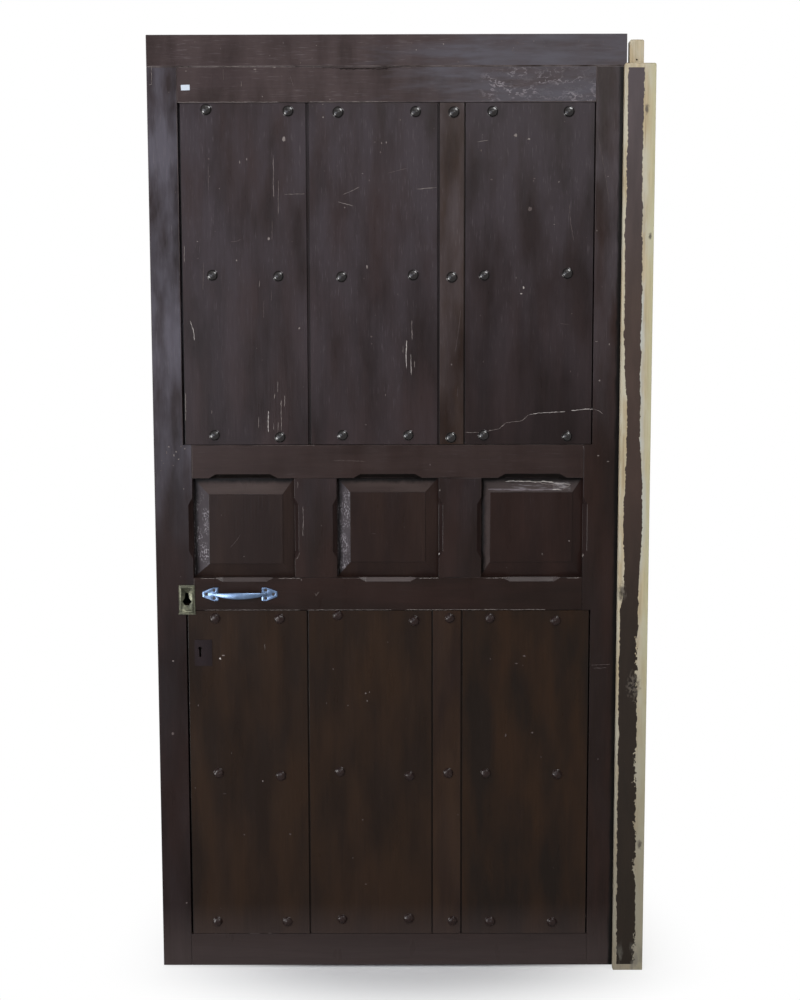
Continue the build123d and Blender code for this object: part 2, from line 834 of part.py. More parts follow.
# Studs: forged iron nails with domed heads and square shanks
stud_head_radius = stud_head_diameter / 2
with BuildPart() as stud:
    with BuildSketch(Plane.XY) as half_head:
        with BuildLine():
            Line((0, -stud_head_height), (0, 0))
            Line((0, 0), (stud_head_radius, 0))
            Line((stud_head_radius, 0), (stud_head_radius, -stud_head_rim))
            TangentArc(
                (0, -stud_head_height), (stud_head_radius, -stud_head_rim), tangent=(1, 0)
            )
        make_face()
    revolve(axis=Axis.Y)
    squared(
        (-stud_shank_width / 2, stud_shank_width / 2),
        (0, stud_shank_length),
        (-stud_shank_width / 2, stud_shank_width / 2),
    )

for field_name, rows in (("upper", upper_rows), ("lower", lower_rows)):
    with BuildPart() as studs:
        with Locations(*[place for row in rows for group in row for place in group]):
            add(stud.part)
    studs.part.label = f"{field_name}_studs"
    export_step(studs.part, f"parts/{field_name}_studs.step")

# Pull handle: arrow-shaped end plates and a bowed spindle grip, pressed as one piece
grip_half_span = handle_length / 2 - handle_plate_length + handle_neck_inset
grip_foot_y = leaf_face - handle_neck_thickness / 2
grip_station_shares = (0.0, 0.12, 0.3, 0.5, 0.7, 0.88, 1.0)
grip_swell_shares = (0.0, 0.12, 0.7, 1.0, 0.7, 0.12, 0.0)
with BuildPart() as pull_handle:
    for side in (-1, 1):
        tip_x = handle_x + side * handle_length / 2
        plate_plane = Plane(origin=(tip_x, leaf_face, handle_z), x_dir=(-side, 0, 0), z_dir=(0, -1, 0))
        with BuildSketch(plate_plane) as end_plate:
            with BuildLine():
                Polyline(
                    (0, -handle_plate_tip / 2),
                    (handle_back_hole - handle_plate_corner, -handle_plate_height / 2),
                    (handle_plate_length, -handle_plate_height / 2),
                    (handle_plate_length, handle_plate_height / 2),
                    (handle_back_hole - handle_plate_corner, handle_plate_height / 2),
                    (0, handle_plate_tip / 2),
                    close=True,
                )
            make_face()
            fillet(end_plate.vertices(), radius=handle_plate_corner)
        extrude(amount=handle_plate_thickness)
    countersinks(handle_screw_places, (0, 1, 0), handle_plate_thickness)
    with BuildLine() as bow:
        ThreePointArc(
            (handle_x - grip_half_span, grip_foot_y, handle_z),
            (handle_x, leaf_face - handle_bow, handle_z),
            (handle_x + grip_half_span, grip_foot_y, handle_z),
        )
    for station, swell in zip(grip_station_shares, grip_swell_shares):
        section_plane = Plane(origin=bow.line @ station, x_dir=(0, 0, 1), z_dir=bow.line % station)
        with BuildSketch(section_plane):
            Ellipse(
                (handle_neck_width + (handle_grip_width - handle_neck_width) * swell) / 2,
                (handle_neck_thickness + (handle_grip_thickness - handle_neck_thickness) * swell) / 2,
            )
    loft()
pull_handle.part.label = "pull_handle"
export_step(pull_handle.part, "parts/pull_handle.step")

with BuildPart() as pull_handle_screws:
    screws(handle_screw_places, (0, 1, 0), handle_screw_length)
pull_handle_screws.part.label = "pull_handle_screws"
export_step(pull_handle_screws.part, "parts/pull_handle_screws.step")

# Brass escutcheon: a plate with a raised rim, a key slot and a turned-out lip below
escutcheon_plane = Plane(origin=(key_x, leaf_face, key_z), x_dir=(1, 0, 0), z_dir=(0, -1, 0))
escutcheon_face = escutcheon_plane.offset(escutcheon_thickness)
with BuildPart() as lock_escutcheon:
    with BuildSketch(escutcheon_plane):
        RectangleRounded(escutcheon_width, escutcheon_height, escutcheon_corner)
    extrude(amount=escutcheon_thickness)
    with BuildSketch(escutcheon_face) as rim:
        Rectangle(escutcheon_width - 2 * escutcheon_rim_inset, escutcheon_height - 2 * escutcheon_rim_inset)
        offset(amount=-escutcheon_rim_width, mode=Mode.SUBTRACT)
    extrude(amount=escutcheon_rim_height)
    with BuildSketch(escutcheon_plane) as lip:
        with Locations((0, -escutcheon_height / 2)):
            Rectangle(escutcheon_width + 2 * escutcheon_lip_overhang, escutcheon_lip_height)
    extrude(amount=escutcheon_thickness)
    extrude(
        key_slot(escutcheon_plane),
        amount=escutcheon_thickness + escutcheon_rim_height,
        mode=Mode.SUBTRACT,
    )
lock_escutcheon.part.label = "lock_escutcheon"
export_step(lock_escutcheon.part, "parts/lock_escutcheon.step")

# Rim lock: a folded steel case, open to the leaf, with two ribs that guide the bolt. The lower
# one is broken where the key's bit comes up to the bolt.
bolt_bottom = key_z + bolt_above_key - bolt_height / 2
bolt_top = bolt_bottom + bolt_height
bolt_front = leaf_back + (case_depth - case_wall - bolt_thickness) / 2
bolt_back = bolt_front + bolt_thickness
lower_rib_bottom = bolt_bottom - bolt_clearance - bolt_rib_thickness
rib_end = leaf_left + case_width - case_wall
key_gap = (key_x - bolt_talon_width / 2, key_x + bolt_talon_width / 2)
with BuildPart() as lock_case:
    squared(
        (leaf_left, leaf_left + case_width),
        (leaf_back, case_back),
        (case_bottom, case_bottom + case_height),
    )
    fillet(lock_case.edges().filter_by(Axis.Y), radius=case_corner)
    offset(amount=-case_wall, openings=lock_case.faces().sort_by(Axis.Y)[0])
    for place in case_screw_places:
        with BuildSketch(Plane(origin=place, z_dir=(0, -1, 0))) as boss:
            Circle(case_boss_radius)
        extrude(boss.sketch, amount=case_depth)
    for rib_bottom in (lower_rib_bottom, bolt_top + bolt_clearance):
        squared(
            (leaf_left, rib_end),
            (leaf_back, case_back - case_wall),
            (rib_bottom, rib_bottom + bolt_rib_thickness),
        )
    squared(
        key_gap,
        (leaf_back, case_back - case_wall),
        (lower_rib_bottom, lower_rib_bottom + bolt_rib_thickness),
        Mode.SUBTRACT,
    )
    squared(
        (leaf_left, leaf_left + case_wall),
        (bolt_front - bolt_clearance, bolt_back + bolt_clearance),
        (bolt_bottom - bolt_clearance, bolt_top + bolt_clearance),
        Mode.SUBTRACT,
    )
    countersinks(case_screw_places, (0, -1, 0), case_depth)
lock_case.part.label = "lock_case"
export_step(lock_case.part, "parts/lock_case.step")

with BuildPart() as lock_case_screws:
    screws(case_screw_places, (0, -1, 0), case_hole_depth)
lock_case_screws.part.label = "lock_case_screws"
export_step(lock_case_screws.part, "parts/lock_case_screws.step")

# Bolt: flush with the leaf's free edge when it is drawn, notched below for the key's bit
with BuildPart() as lock_bolt:
    squared((leaf_left, leaf_left + bolt_length), (bolt_front, bolt_back), (bolt_bottom, bolt_top))
    squared(
        key_gap,
        (bolt_front, bolt_back),
        (bolt_bottom, bolt_bottom + bolt_talon_depth),
        Mode.SUBTRACT,
    )
lock_bolt.part.label = "lock_bolt"
export_step(lock_bolt.part, "parts/lock_bolt.step")

# Butt hinges: three knuckles on a pin, two on the jamb's plate and one on the leaf's
knuckle_height = hinge_height / 3
plate_front = leaf_back - hinge_plate_width
notch_radius = hinge_knuckle_radius + hinge_notch_clearance


def hinge_plate(level, plate_xs, knuckle_places, screw_places, into):
    """One plate of a butt hinge, with its own knuckles and room for the other plate's."""
    bottom = level - hinge_height / 2
    squared(plate_xs, (plate_front, hinge_axis_y), (bottom, bottom + hinge_height))
    for place in range(3):
        knuckle_bottom = bottom + knuckle_height * place
        with BuildSketch(Plane.XY.offset(knuckle_bottom)) as knuckle:
            with Locations((hinge_axis_x, hinge_axis_y)):
                Circle(hinge_knuckle_radius)
        with BuildSketch(Plane.XY.offset(knuckle_bottom)) as notch:
            with Locations((hinge_axis_x, hinge_axis_y)):
                Circle(notch_radius)
        if place in knuckle_places:
            extrude(knuckle.sketch, amount=knuckle_height)
        else:
            extrude(notch.sketch, amount=knuckle_height, mode=Mode.SUBTRACT)
    with BuildSketch(Plane.XY.offset(bottom)) as pin_hole:
        with Locations((hinge_axis_x, hinge_axis_y)):
            Circle(hinge_pin_radius + hinge_pin_clearance)
    extrude(pin_hole.sketch, amount=hinge_height, mode=Mode.SUBTRACT)
    countersinks(screw_places, into, hinge_plate_thickness)


jamb_plate_xs = (rebate_wall - hinge_plate_thickness, rebate_wall)
door_plate_xs = (leaf_right, leaf_right + hinge_plate_thickness)
screws_each = len(hinge_screw_shares)
for number, (hinge_name, level) in enumerate(zip(hinge_names, hinge_levels)):
    own = slice(number * screws_each, (number + 1) * screws_each)
    with BuildPart() as jamb_plate:
        hinge_plate(level, jamb_plate_xs, (0, 2), jamb_screw_places[own], (1, 0, 0))
        for side in (-1, 1):
            joint_level = level + side * knuckle_height / 2
            with BuildSketch(Plane.XY.offset(joint_level - hinge_knuckle_gap / 2)) as joint:
                with Locations((hinge_axis_x, hinge_axis_y)):
                    Circle(notch_radius)
            extrude(joint.sketch, amount=hinge_knuckle_gap, mode=Mode.SUBTRACT)
    jamb_plate.part.label = f"{hinge_name}_hinge_jamb_plate"
    export_step(jamb_plate.part, f"parts/{hinge_name}_hinge_jamb_plate.step")
    with BuildPart() as door_plate:
        hinge_plate(level, door_plate_xs, (1,), door_screw_places[own], (-1, 0, 0))
    door_plate.part.label = f"{hinge_name}_hinge_door_plate"
    export_step(door_plate.part, f"parts/{hinge_name}_hinge_door_plate.step")
    pin_bottom = level - hinge_height / 2
    with BuildPart() as pin:
        with BuildSketch(Plane.XY.offset(pin_bottom)) as shank:
            with Locations((hinge_axis_x, hinge_axis_y)):
                Circle(hinge_pin_radius)
        extrude(amount=hinge_height)
        with BuildSketch(Plane.XY.offset(pin_bottom + hinge_height)) as head:
            with Locations((hinge_axis_x, hinge_axis_y)):
                Circle(hinge_pin_head_radius)
        extrude(amount=hinge_pin_head_height)
        fillet(pin.edges().group_by(Axis.Z)[-1], radius=hinge_pin_head_height / 2)
    pin.part.label = f"{hinge_name}_hinge_pin"
    export_step(pin.part, f"parts/{hinge_name}_hinge_pin.step")

with BuildPart() as jamb_hinge_screws:
    screws(jamb_screw_places, (1, 0, 0), hinge_screw_length)
jamb_hinge_screws.part.label = "jamb_hinge_screws"
export_step(jamb_hinge_screws.part, "parts/jamb_hinge_screws.step")

with BuildPart() as door_hinge_screws:
    screws(door_screw_places, (-1, 0, 0), hinge_screw_length)
door_hinge_screws.part.label = "door_hinge_screws"
export_step(door_hinge_screws.part, "parts/door_hinge_screws.step")
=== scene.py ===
import math
import random

import bmesh
import bpy
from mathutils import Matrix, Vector
from mathutils.bvhtree import BVHTree


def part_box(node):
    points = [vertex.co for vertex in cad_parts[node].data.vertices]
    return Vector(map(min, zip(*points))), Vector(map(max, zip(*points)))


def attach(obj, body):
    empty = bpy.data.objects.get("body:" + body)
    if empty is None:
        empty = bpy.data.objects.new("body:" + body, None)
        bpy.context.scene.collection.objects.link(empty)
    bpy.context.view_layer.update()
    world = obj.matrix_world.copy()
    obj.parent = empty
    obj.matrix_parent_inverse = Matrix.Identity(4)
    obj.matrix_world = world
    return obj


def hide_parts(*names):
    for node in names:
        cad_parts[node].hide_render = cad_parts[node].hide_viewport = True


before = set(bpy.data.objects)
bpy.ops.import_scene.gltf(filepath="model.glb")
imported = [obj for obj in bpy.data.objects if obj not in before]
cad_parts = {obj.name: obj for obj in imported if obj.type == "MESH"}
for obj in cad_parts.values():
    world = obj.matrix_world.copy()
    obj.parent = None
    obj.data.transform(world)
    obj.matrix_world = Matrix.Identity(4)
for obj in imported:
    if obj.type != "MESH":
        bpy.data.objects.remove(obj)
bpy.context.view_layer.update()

# Hinge jamb: the post that the leaf hangs on, one length of pale softwood, rebated so that its
# stop stands in front of the leaf. It was painted with the door, and the paint is left as a strip
# down its face between edges that were covered until the frame was taken out of its wall.


def linear(code):
    """An sRGB hex colour as the linear colour that a shader takes."""
    parts = [int(code[start : start + 2], 16) / 255 for start in (1, 3, 5)]
    return [c / 12.92 if c <= 0.04045 else ((c + 0.055) / 1.055) ** 2.4 for c in parts] + [1.0]


def fill(tree, node, inputs):
    """Sets sockets of a node to values, or links them to a socket or to the output that a node uses."""
    for socket, value in inputs.items():
        if isinstance(value, bpy.types.Node):
            value = next(output for output in value.outputs if output.enabled)
        if isinstance(value, bpy.types.NodeSocket):
            tree.links.new(value, node.inputs[socket])
        else:
            node.inputs[socket].default_value = value


def add(tree, kind, inputs=(), **settings):
    """One more node in a tree, a shader's unless its kind says so, with its settings and sockets."""
    node = tree.nodes.new(kind if "Node" in kind else "ShaderNode" + kind)
    for setting, value in settings.items():
        setattr(node, setting, value)
    fill(tree, node, dict(inputs))
    return node


def new_finish(name):
    """An empty material, with its tree, its shader and the object's own coordinates in metres."""
    material = bpy.data.materials.new(name)
    material.use_nodes = True
    tree = material.node_tree
    return material, tree, tree.nodes["Principled BSDF"], add(tree, "TexCoord").outputs["Object"]


def mottle(tree, size, detail=4.0, fray=0.5, shift=(0, 0, 0)):
    """Noise whose spots have a given size in metres along each axis of the object."""
    place = add(tree, "TexCoord").outputs["Object"]
    spot = add(tree, "Mapping", {0: place, "Location": shift, "Scale": size}, vector_type="TEXTURE")
    return add(tree, "TexNoise", {0: spot, "Scale": 1.0, "Detail": detail, "Roughness": fray})


def merged(node):
    """The loose triangles of a CAD node, joined in a form that can be worked on."""
    form = bmesh.new()
    form.from_mesh(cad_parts[node].data)
    bmesh.ops.remove_doubles(form, verts=form.verts, dist=2e-6)
    return form


def made(name, form):
    """A new piece from a form that is finished."""
    piece = bpy.data.objects.new(name, bpy.data.meshes.new(name))
    bpy.context.scene.collection.objects.link(piece)
    form.to_mesh(piece.data)
    form.free()
    return piece


def eased(node, arris, shortest):
    """A copy of a timber whose longer arrises are rubbed round, with a finish of their own."""
    form = merged(node)
    bmesh.ops.dissolve_limit(form, angle_limit=math.radians(0.5), verts=form.verts, edges=form.edges)
    arrises = [
        edge
        for edge in form.edges
        if edge.is_manifold
        and edge.calc_length() > shortest
        and edge.calc_face_angle_signed() > math.radians(10)
    ]
    bmesh.ops.bevel(form, geom=arrises, offset=arris, segments=2, profile=0.5, affect="EDGES", material=1)
    return made(node + "_timber", form)


def jamb_wood(width, face, height):
    """Bare softwood with a ragged strip of old paint: matt, pale, greyed and stained along its edges."""
    material, tree, shader, place = new_finish("bare_softwood_with_old_paint")
    axes = add(tree, "SeparateXYZ", {0: place})
    across = add(tree, "MapRange", {"Value": axes.outputs["X"], 1: width[0], 2: width[1]}, clamp=False)
    up = add(tree, "MapRange", {"Value": axes.outputs["Z"], 1: 0.0, 2: height})
    # growth rings sawn lengthwise, 3 by 150 mm; stains of 25 by 140 mm; flakes of 6 by 9 mm;
    # clumps of flakes, 30 by 70 mm; a wander of the paint's edges over 45 mm
    sizes = ((0.003, 0.003, 0.150), (0.025, 0.025, 0.140), (0.006, 0.006, 0.009))
    sizes += ((0.030, 0.030, 0.070), (0.120, 1.0, 0.045))
    grain, stain, flake, clump, wander = [mottle(tree, size, 4.0, 0.6) for size in sizes]
    wood = add(tree, "ValToRGB", {"Fac": grain})
    wood.color_ramp.elements[0].position = 0.3
    wood.color_ramp.elements[0].color = linear("#9c8a6c")
    wood.color_ramp.elements[1].position = 0.66
    wood.color_ramp.elements[1].color = linear("#c1b08f")
    stained = add(tree, "MapRange", {"Value": stain, 1: 0.42, 2: 0.62})
    grey = {0: stained, 6: wood, 7: linear("#bdb59f")}
    bare = add(tree, "Mix", grey, data_type="RGBA")
    # the outer edge is greener, where damp plaster lay against it, and the foot is dull grey
    outer = add(tree, "MapRange", {"Value": across, 1: 0.7, 2: 0.97, 4: 0.7})
    low = add(tree, "MapRange", {"Value": up, 1: 0.42, 2: 0.1, 3: 0.0, 4: 0.75})
    for amount, tint in ((outer, "#b8b48f"), (low, "#857e6e")):
        tinted = {0: amount, 6: bare, 7: linear(tint)}
        bare = add(tree, "Mix", tinted, data_type="RGBA")
    # how far across the face the paint starts and ends, from the foot to the shoulder
    starts = ((0, 0.12), (0.14, 0.09), (0.25, 0.08), (0.41, 0.09), (0.44, 0.19), (0.52, 0.16), (0.62, 0.22))
    starts += ((0.68, 0.11), (0.78, 0.08), (0.9, 0.11), (1, 0.11))
    ends = ((0, 0.75), (0.2, 0.70), (0.3, 0.68), (0.43, 0.68), (0.52, 0.76), (0.62, 0.64), (0.78, 0.64))
    ends += ((0.9, 0.60), (1, 0.63))
    edges = []
    for points in (starts, ends):
        edge = add(tree, "FloatCurve", {"Value": up})
        curve = edge.mapping.curves[0]
        curve.points[0].location, curve.points[1].location = points[0], points[-1]
        for point in points[1:-1]:
            curve.points.new(*point)
        edge.mapping.update()
        edges.append(edge)
    # along the strip's outer side, at middle height, the pale undercoat still shows
    beside = add(tree, "Math", {0: edges[1], 1: across}, operation="SUBTRACT")
    coated = add(tree, "MapRange", {"Value": beside, 1: -0.16, 2: -0.03, 4: 0.6})
    outer_half = {"Value": across, 1: 0.48, 2: 0.54}
    above_knot = {"Value": up, 1: 0.40, 2: 0.54}
    below_head = {"Value": up, 1: 0.92, 2: 0.80}
    blots = {"Value": stain, 1: 0.4, 2: 0.54, 3: 0.2}
    for limit in (outer_half, above_knot, below_head, blots):
        limit = add(tree, "MapRange", limit)
        both = {0: coated, 1: limit}
        coated = add(tree, "Math", both, operation="MULTIPLY")
    undercoat = {0: coated, 6: bare, 7: linear("#b5bab7")}
    bare = add(tree, "Mix", undercoat, data_type="RGBA")
    # both edges wander by 4 mm and are nibbled by 2 mm
    ragged = add(tree, "Math", {0: wander, 1: 0.16, 2: across}, operation="MULTIPLY_ADD")
    ragged = add(tree, "Math", {0: flake, 1: 0.12, 2: ragged}, operation="MULTIPLY_ADD")
    ragged = add(tree, "Math", {0: ragged, 1: 0.14}, operation="SUBTRACT")
    # flakes are gone in clumps near the strip's outer edge, low down
    loss = add(tree, "MapRange", {"Value": beside, 1: 0.0, 2: 0.16, 3: 0.38, 4: 0.72})
    sound = add(tree, "MapRange", {"Value": clump, 1: 0.54, 2: 0.44, 3: 0.0, 4: 0.3})
    high_up = add(tree, "MapRange", {"Value": up, 1: 0.34, 2: 0.5, 3: 0.0, 4: 0.3})
    for more in (sound, high_up):
        loss = add(tree, "Math", {0: loss, 1: more}, operation="ADD")
    painted = None
    covers = (
        (ragged, edges[0], "GREATER_THAN"),
        (ragged, edges[1], "LESS_THAN"),
        (axes.outputs["Y"], face + 0.0013, "LESS_THAN"),
        (axes.outputs["Z"], 0.014, "GREATER_THAN"),
        (axes.outputs["Z"], height - 0.010, "LESS_THAN"),
        (flake, loss, "LESS_THAN"),
    )
    for value, limit, comparison in covers:
        cover = add(tree, "Math", {0: value, 1: limit}, operation=comparison)
        if painted:
            both = {0: painted, 1: cover}
            cover = add(tree, "Math", both, operation="MULTIPLY")
        painted = cover
    # the strip is greyed at the top and nearly black at the foot
    tones = add(tree, "ValToRGB", {"Fac": up})
    tones.color_ramp.elements[0].color = linear("#20180f")
    tones.color_ramp.elements[1].color = linear("#4a4143")
    for position, tone in ((0.4, "#261d16"), (0.55, "#3b2d27"), (0.75, "#41342e")):
        tones.color_ramp.elements.new(position).color = linear(tone)
    depth = add(tree, "MapRange", {"Value": stain, 1: 0.3, 2: 0.7, 3: 0.82, 4: 1.18})
    paint = add(tree, "VectorMath", {0: tones, "Scale": depth}, operation="SCALE")
    layers = {0: painted, 6: bare, 7: paint}
    colour = add(tree, "Mix", layers, data_type="RGBA")
    # knots have pushed the paint off: how far from the post's left arris, how high, how wide
    knots = ((0.008, 0.861, 0.010), (0.037, 0.652, 0.015), (0.058, 1.63, 0.004), (0.047, 1.895, 0.005))
    for out, high, reach in knots + ((0.056, 0.291, 0.006),):
        centre = {0: place, "Location": (width[0] + out, face, high), "Scale": (reach, reach, reach * 2)}
        centre = add(tree, "Mapping", centre, vector_type="TEXTURE")
        away = add(tree, "VectorMath", {0: centre}, operation="LENGTH")
        rough = add(tree, "Math", {0: flake, 1: 2.4, 2: away}, operation="MULTIPLY_ADD")
        inside = add(tree, "MapRange", {"Value": rough, 1: 1.5, 2: 2.3, 3: 0.9, 4: 0.0})
        pale = add(tree, "MapRange", {"Value": flake, 1: 0.46, 2: 0.54, 3: 1.0, 4: 0.0})
        knotty = add(tree, "Mix", {0: pale, 6: linear("#1a1512"), 7: linear("#5a5249")}, data_type="RGBA")
        layers = {0: inside, 6: colour, 7: knotty}
        colour = add(tree, "Mix", layers, data_type="RGBA")
    # boots have scuffed the strip's foot
    foot = add(tree, "MapRange", {"Value": axes.outputs["Z"], 1: 0.075, 2: 0.03})
    scuff = add(tree, "MapRange", {"Value": clump, 1: 0.5, 2: 0.6, 4: 0.6})
    scuff = add(tree, "Math", {0: scuff, 1: foot}, operation="MULTIPLY")
    layers = {0: scuff, 6: colour, 7: linear("#6b675e")}
    colour = add(tree, "Mix", layers, data_type="RGBA")
    roughness = add(tree, "MapRange", {"Value": painted, 3: 0.8, 4: 0.45})
    relief = add(tree, "Math", {0: painted, 1: grain}, operation="ADD")
    bump = add(tree, "Bump", {"Height": relief, "Strength": 0.5, "Distance": 0.0006})
    look = {"Base Color": colour, "Roughness": roughness, "Specular IOR Level": 0.15, "Normal": bump}
    fill(tree, shader, look)
    return material


jamb_low, jamb_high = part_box("hinge_jamb")
jamb_shoulder = 1.992
jamb_arris, shortest_rubbed = 0.0012, 0.012
jamb = eased("hinge_jamb", jamb_arris, shortest_rubbed)
wood = jamb_wood((jamb_low.x, jamb_high.x), jamb_low.y, jamb_shoulder)
jamb.data.materials.append(wood)
jamb.data.materials.append(wood)
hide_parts("hinge_jamb")
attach(jamb, "frame")

# Butt hinges: three pairs of steel plates on loose pins, let into jamb and stile behind the leaf.
# Rolled and pressed steel that was never painted, dull, with rust where the damp stands.


def spotted(name, size, tones, spread=(0.0, 1.0), detail=4.0, fray=0.5):
    """A finish whose two tones meet in spots of a given size in mm, still without sheen and relief."""
    material, tree, shader, place = new_finish(name)
    spots = add(tree, "TexNoise", {0: place, "Scale": 1000 / size, "Detail": detail, "Roughness": fray})
    amount = add(tree, "MapRange", {"Value": spots, 1: spread[0], 2: spread[1]})
    colour = {0: amount, 6: linear(tones[0]), 7: linear(tones[1])}
    fill(tree, shader, {"Base Color": add(tree, "Mix", colour, data_type="RGBA")})
    return material, tree, shader, spots, amount


def dull_steel(name, clean, rust, rusted):
    """Old mild steel: a grey that scatters, with brown rust in blooms of about 12 mm."""
    spread = (0.62 - 0.3 * rusted, 0.8 - 0.3 * rusted)
    material, tree, shader, bloom, amount = spotted(name, 12, (clean, rust), spread, 5.0, 0.65)
    metal = add(tree, "MapRange", {"Value": amount, 3: 1.0, 4: 0.2})
    roughness = add(tree, "MapRange", {"Value": bloom, 3: 0.3, 4: 0.7})
    bump = add(tree, "Bump", {"Height": bloom, "Strength": 0.4, "Distance": 0.0003})
    fill(tree, shader, {"Metallic": metal, "Roughness": roughness, "Normal": bump})
    return material


def turned(node, ending, crease):
    """A copy of a metal piece whose round faces are smooth and whose creases stay sharp."""
    piece = made(node + ending, merged(node))
    piece.data.shade_smooth()
    piece.data.set_sharp_from_angle(angle=math.radians(crease))
    return piece


hinge_steel = dull_steel("rolled_hinge_steel", "#6d6864", "#4e3224", 0.5)
for level in ("top", "middle", "bottom"):
    for part, body in (("jamb_plate", "frame"), ("pin", "frame"), ("door_plate", "leaf")):
        node = f"{level}_hinge_{part}"
        plate = turned(node, "_steel", 30)
        plate.data.materials.append(hinge_steel)
        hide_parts(node)
        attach(plate, body)

# Wood screws: countersunk slotted steel screws hold the hinges, the lock case and the pull handle.
# Their heads lie flush in the plates, each with its slot turned as the driver left it.


def screw_blank():
    """One screw of unit head width, pointing along -Z, with a slot across its head."""
    form = bmesh.new()
    bmesh.ops.create_cone(form, cap_ends=True, segments=24, radius1=0.2, radius2=0.5, depth=0.45)
    bmesh.ops.translate(form, verts=form.verts, vec=(0, 0, -0.225))
    for side in (-0.075, 0.075):
        everything = form.verts[:] + form.edges[:] + form.faces[:]
        bmesh.ops.bisect_plane(form, geom=everything, plane_co=(side, 0, 0), plane_no=(1, 0, 0))
    slot_faces = [f for f in form.faces if f.normal.z > 0.9 and abs(f.calc_center_median().x) < 0.05]
    sunk = bmesh.ops.extrude_face_region(form, geom=slot_faces)["geom"]
    sunk = [part for part in sunk if isinstance(part, bmesh.types.BMVert)]
    bmesh.ops.translate(form, verts=sunk, vec=(0, 0, -0.14))
    bmesh.ops.scale(form, verts=sunk, vec=(1, 0.82, 1))
    bmesh.ops.delete(form, geom=slot_faces, context="FACES_ONLY")
    bmesh.ops.recalc_face_normals(form, faces=form.faces)
    return made("screw_blank", form)


def new_grower(name, sockets):
    """A Geometry Nodes tree with its named inputs and one output of geometry."""
    tree = bpy.data.node_groups.new(name, "GeometryNodeTree")
    for socket, kind in sockets:
        tree.interface.new_socket(socket, in_out="INPUT", socket_type="NodeSocket" + kind)
    tree.interface.new_socket("Made", in_out="OUTPUT", socket_type="NodeSocketGeometry")
    return tree, add(tree, "NodeGroupInput").outputs


def driven_screws():
    """Geometry Nodes that set a screw on each point, its slot turned at random."""
    sockets = (("Places", "Geometry"), ("Blank", "Object"), ("Head Width", "Float"), ("Facing", "Vector"))
    tree, given = new_grower("driven_screws", sockets + (("Seed", "Int"), ("Steel", "Material")))
    blank = add(tree, "GeometryNodeObjectInfo", {"Object": given["Blank"]})
    half_turn = {"Max": (0.0, 0.0, math.pi), "Seed": given["Seed"]}
    turn = add(tree, "FunctionNodeRandomValue", half_turn, data_type="FLOAT_VECTOR")
    aimed = add(tree, "FunctionNodeAlignRotationToVector", {"Vector": given["Facing"]}, axis="Z")
    spin = {"Rotation": aimed, "Rotate By": turn}
    spun = add(tree, "FunctionNodeRotateRotation", spin, rotation_space="LOCAL")
    placing = {"Points": given["Places"], "Instance": blank.outputs["Geometry"]}
    placing.update({"Rotation": spun, "Scale": given["Head Width"]})
    placed = add(tree, "GeometryNodeInstanceOnPoints", placing)
    real = add(tree, "GeometryNodeRealizeInstances", {"Geometry": placed})
    finished = add(tree, "GeometryNodeSetMaterial", {"Geometry": real, "Material": given["Steel"]})
    add(tree, "NodeGroupOutput", {"Made": finished})
    return tree


def grown(name, mesh, tree, inputs):
    """The plain mesh that a Geometry Nodes tree makes on some points or on a surface."""
    piece = bpy.data.objects.new(name, mesh)
    bpy.context.scene.collection.objects.link(piece)
    grower = piece.modifiers.new(name, "NODES")
    grower.node_group = tree
    for item in tree.interface.items_tree:
        if item.in_out == "INPUT" and item.name in inputs:
            grower[item.identifier] = inputs[item.name]
    bpy.context.view_layer.update()
    made = bpy.data.meshes.new_from_object(piece.evaluated_get(bpy.context.evaluated_depsgraph_get()))
    piece.modifiers.remove(grower)
    piece.data = made
    return piece


def loose_solids(node):
    """The lowest and highest corner of each separate solid in a CAD node."""
    form = merged(node)
    left = dict.fromkeys(form.verts)
    solids = []
    while left:
        island = [left.popitem()[0]]
        for vert in island:
            for edge in vert.link_edges:
                other = edge.other_vert(vert)
                if other in left:
                    del left[other]
                    island.append(other)
        low = Vector([min(vert.co[axis] for vert in island) for axis in range(3)])
        high = Vector([max(vert.co[axis] for vert in island) for axis in range(3)])
        solids.append((low, high))
    form.free()
    return solids


def points_mesh(name, points):
    """Loose points for Geometry Nodes to build on."""
    mesh = bpy.data.meshes.new(name)
    mesh.from_pydata(points, [], [])
    return mesh


screw_steel = dull_steel("dull_screw_steel", "#6f6f72", "#3b2c25", 0.25)
handle_screw_steel = dull_steel("blackened_screw_steel", "#3b393a", "#241c19", 0.4)
blank = screw_blank()
screws_tree = driven_screws()
screw_groups = (
    ("jamb_hinge_screws", "frame", (-1.0, 0.0, 0.0), 11, screw_steel),
    ("door_hinge_screws", "leaf", (1.0, 0.0, 0.0), 12, screw_steel),
    ("lock_case_screws", "leaf", (0.0, 1.0, 0.0), 13, screw_steel),
    ("pull_handle_screws", "leaf", (0.0, -1.0, 0.0), 14, handle_screw_steel),
)
for node, body, facing, seed, steel in screw_groups:
    heads = []
    for low, high in loose_solids(node):
        half = (high - low) / 2
        heads.append((low + high) / 2 + Vector([way * reach for way, reach in zip(facing, half)]))
    width = high.z - low.z
    inputs = {"Blank": blank, "Head Width": width, "Facing": facing, "Seed": seed, "Steel": steel}
    screws = grown(node + "_slotted", points_mesh(node + "_places", heads), screws_tree, inputs)
    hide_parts(node)
    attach(screws, body)
bpy.data.objects.remove(blank)
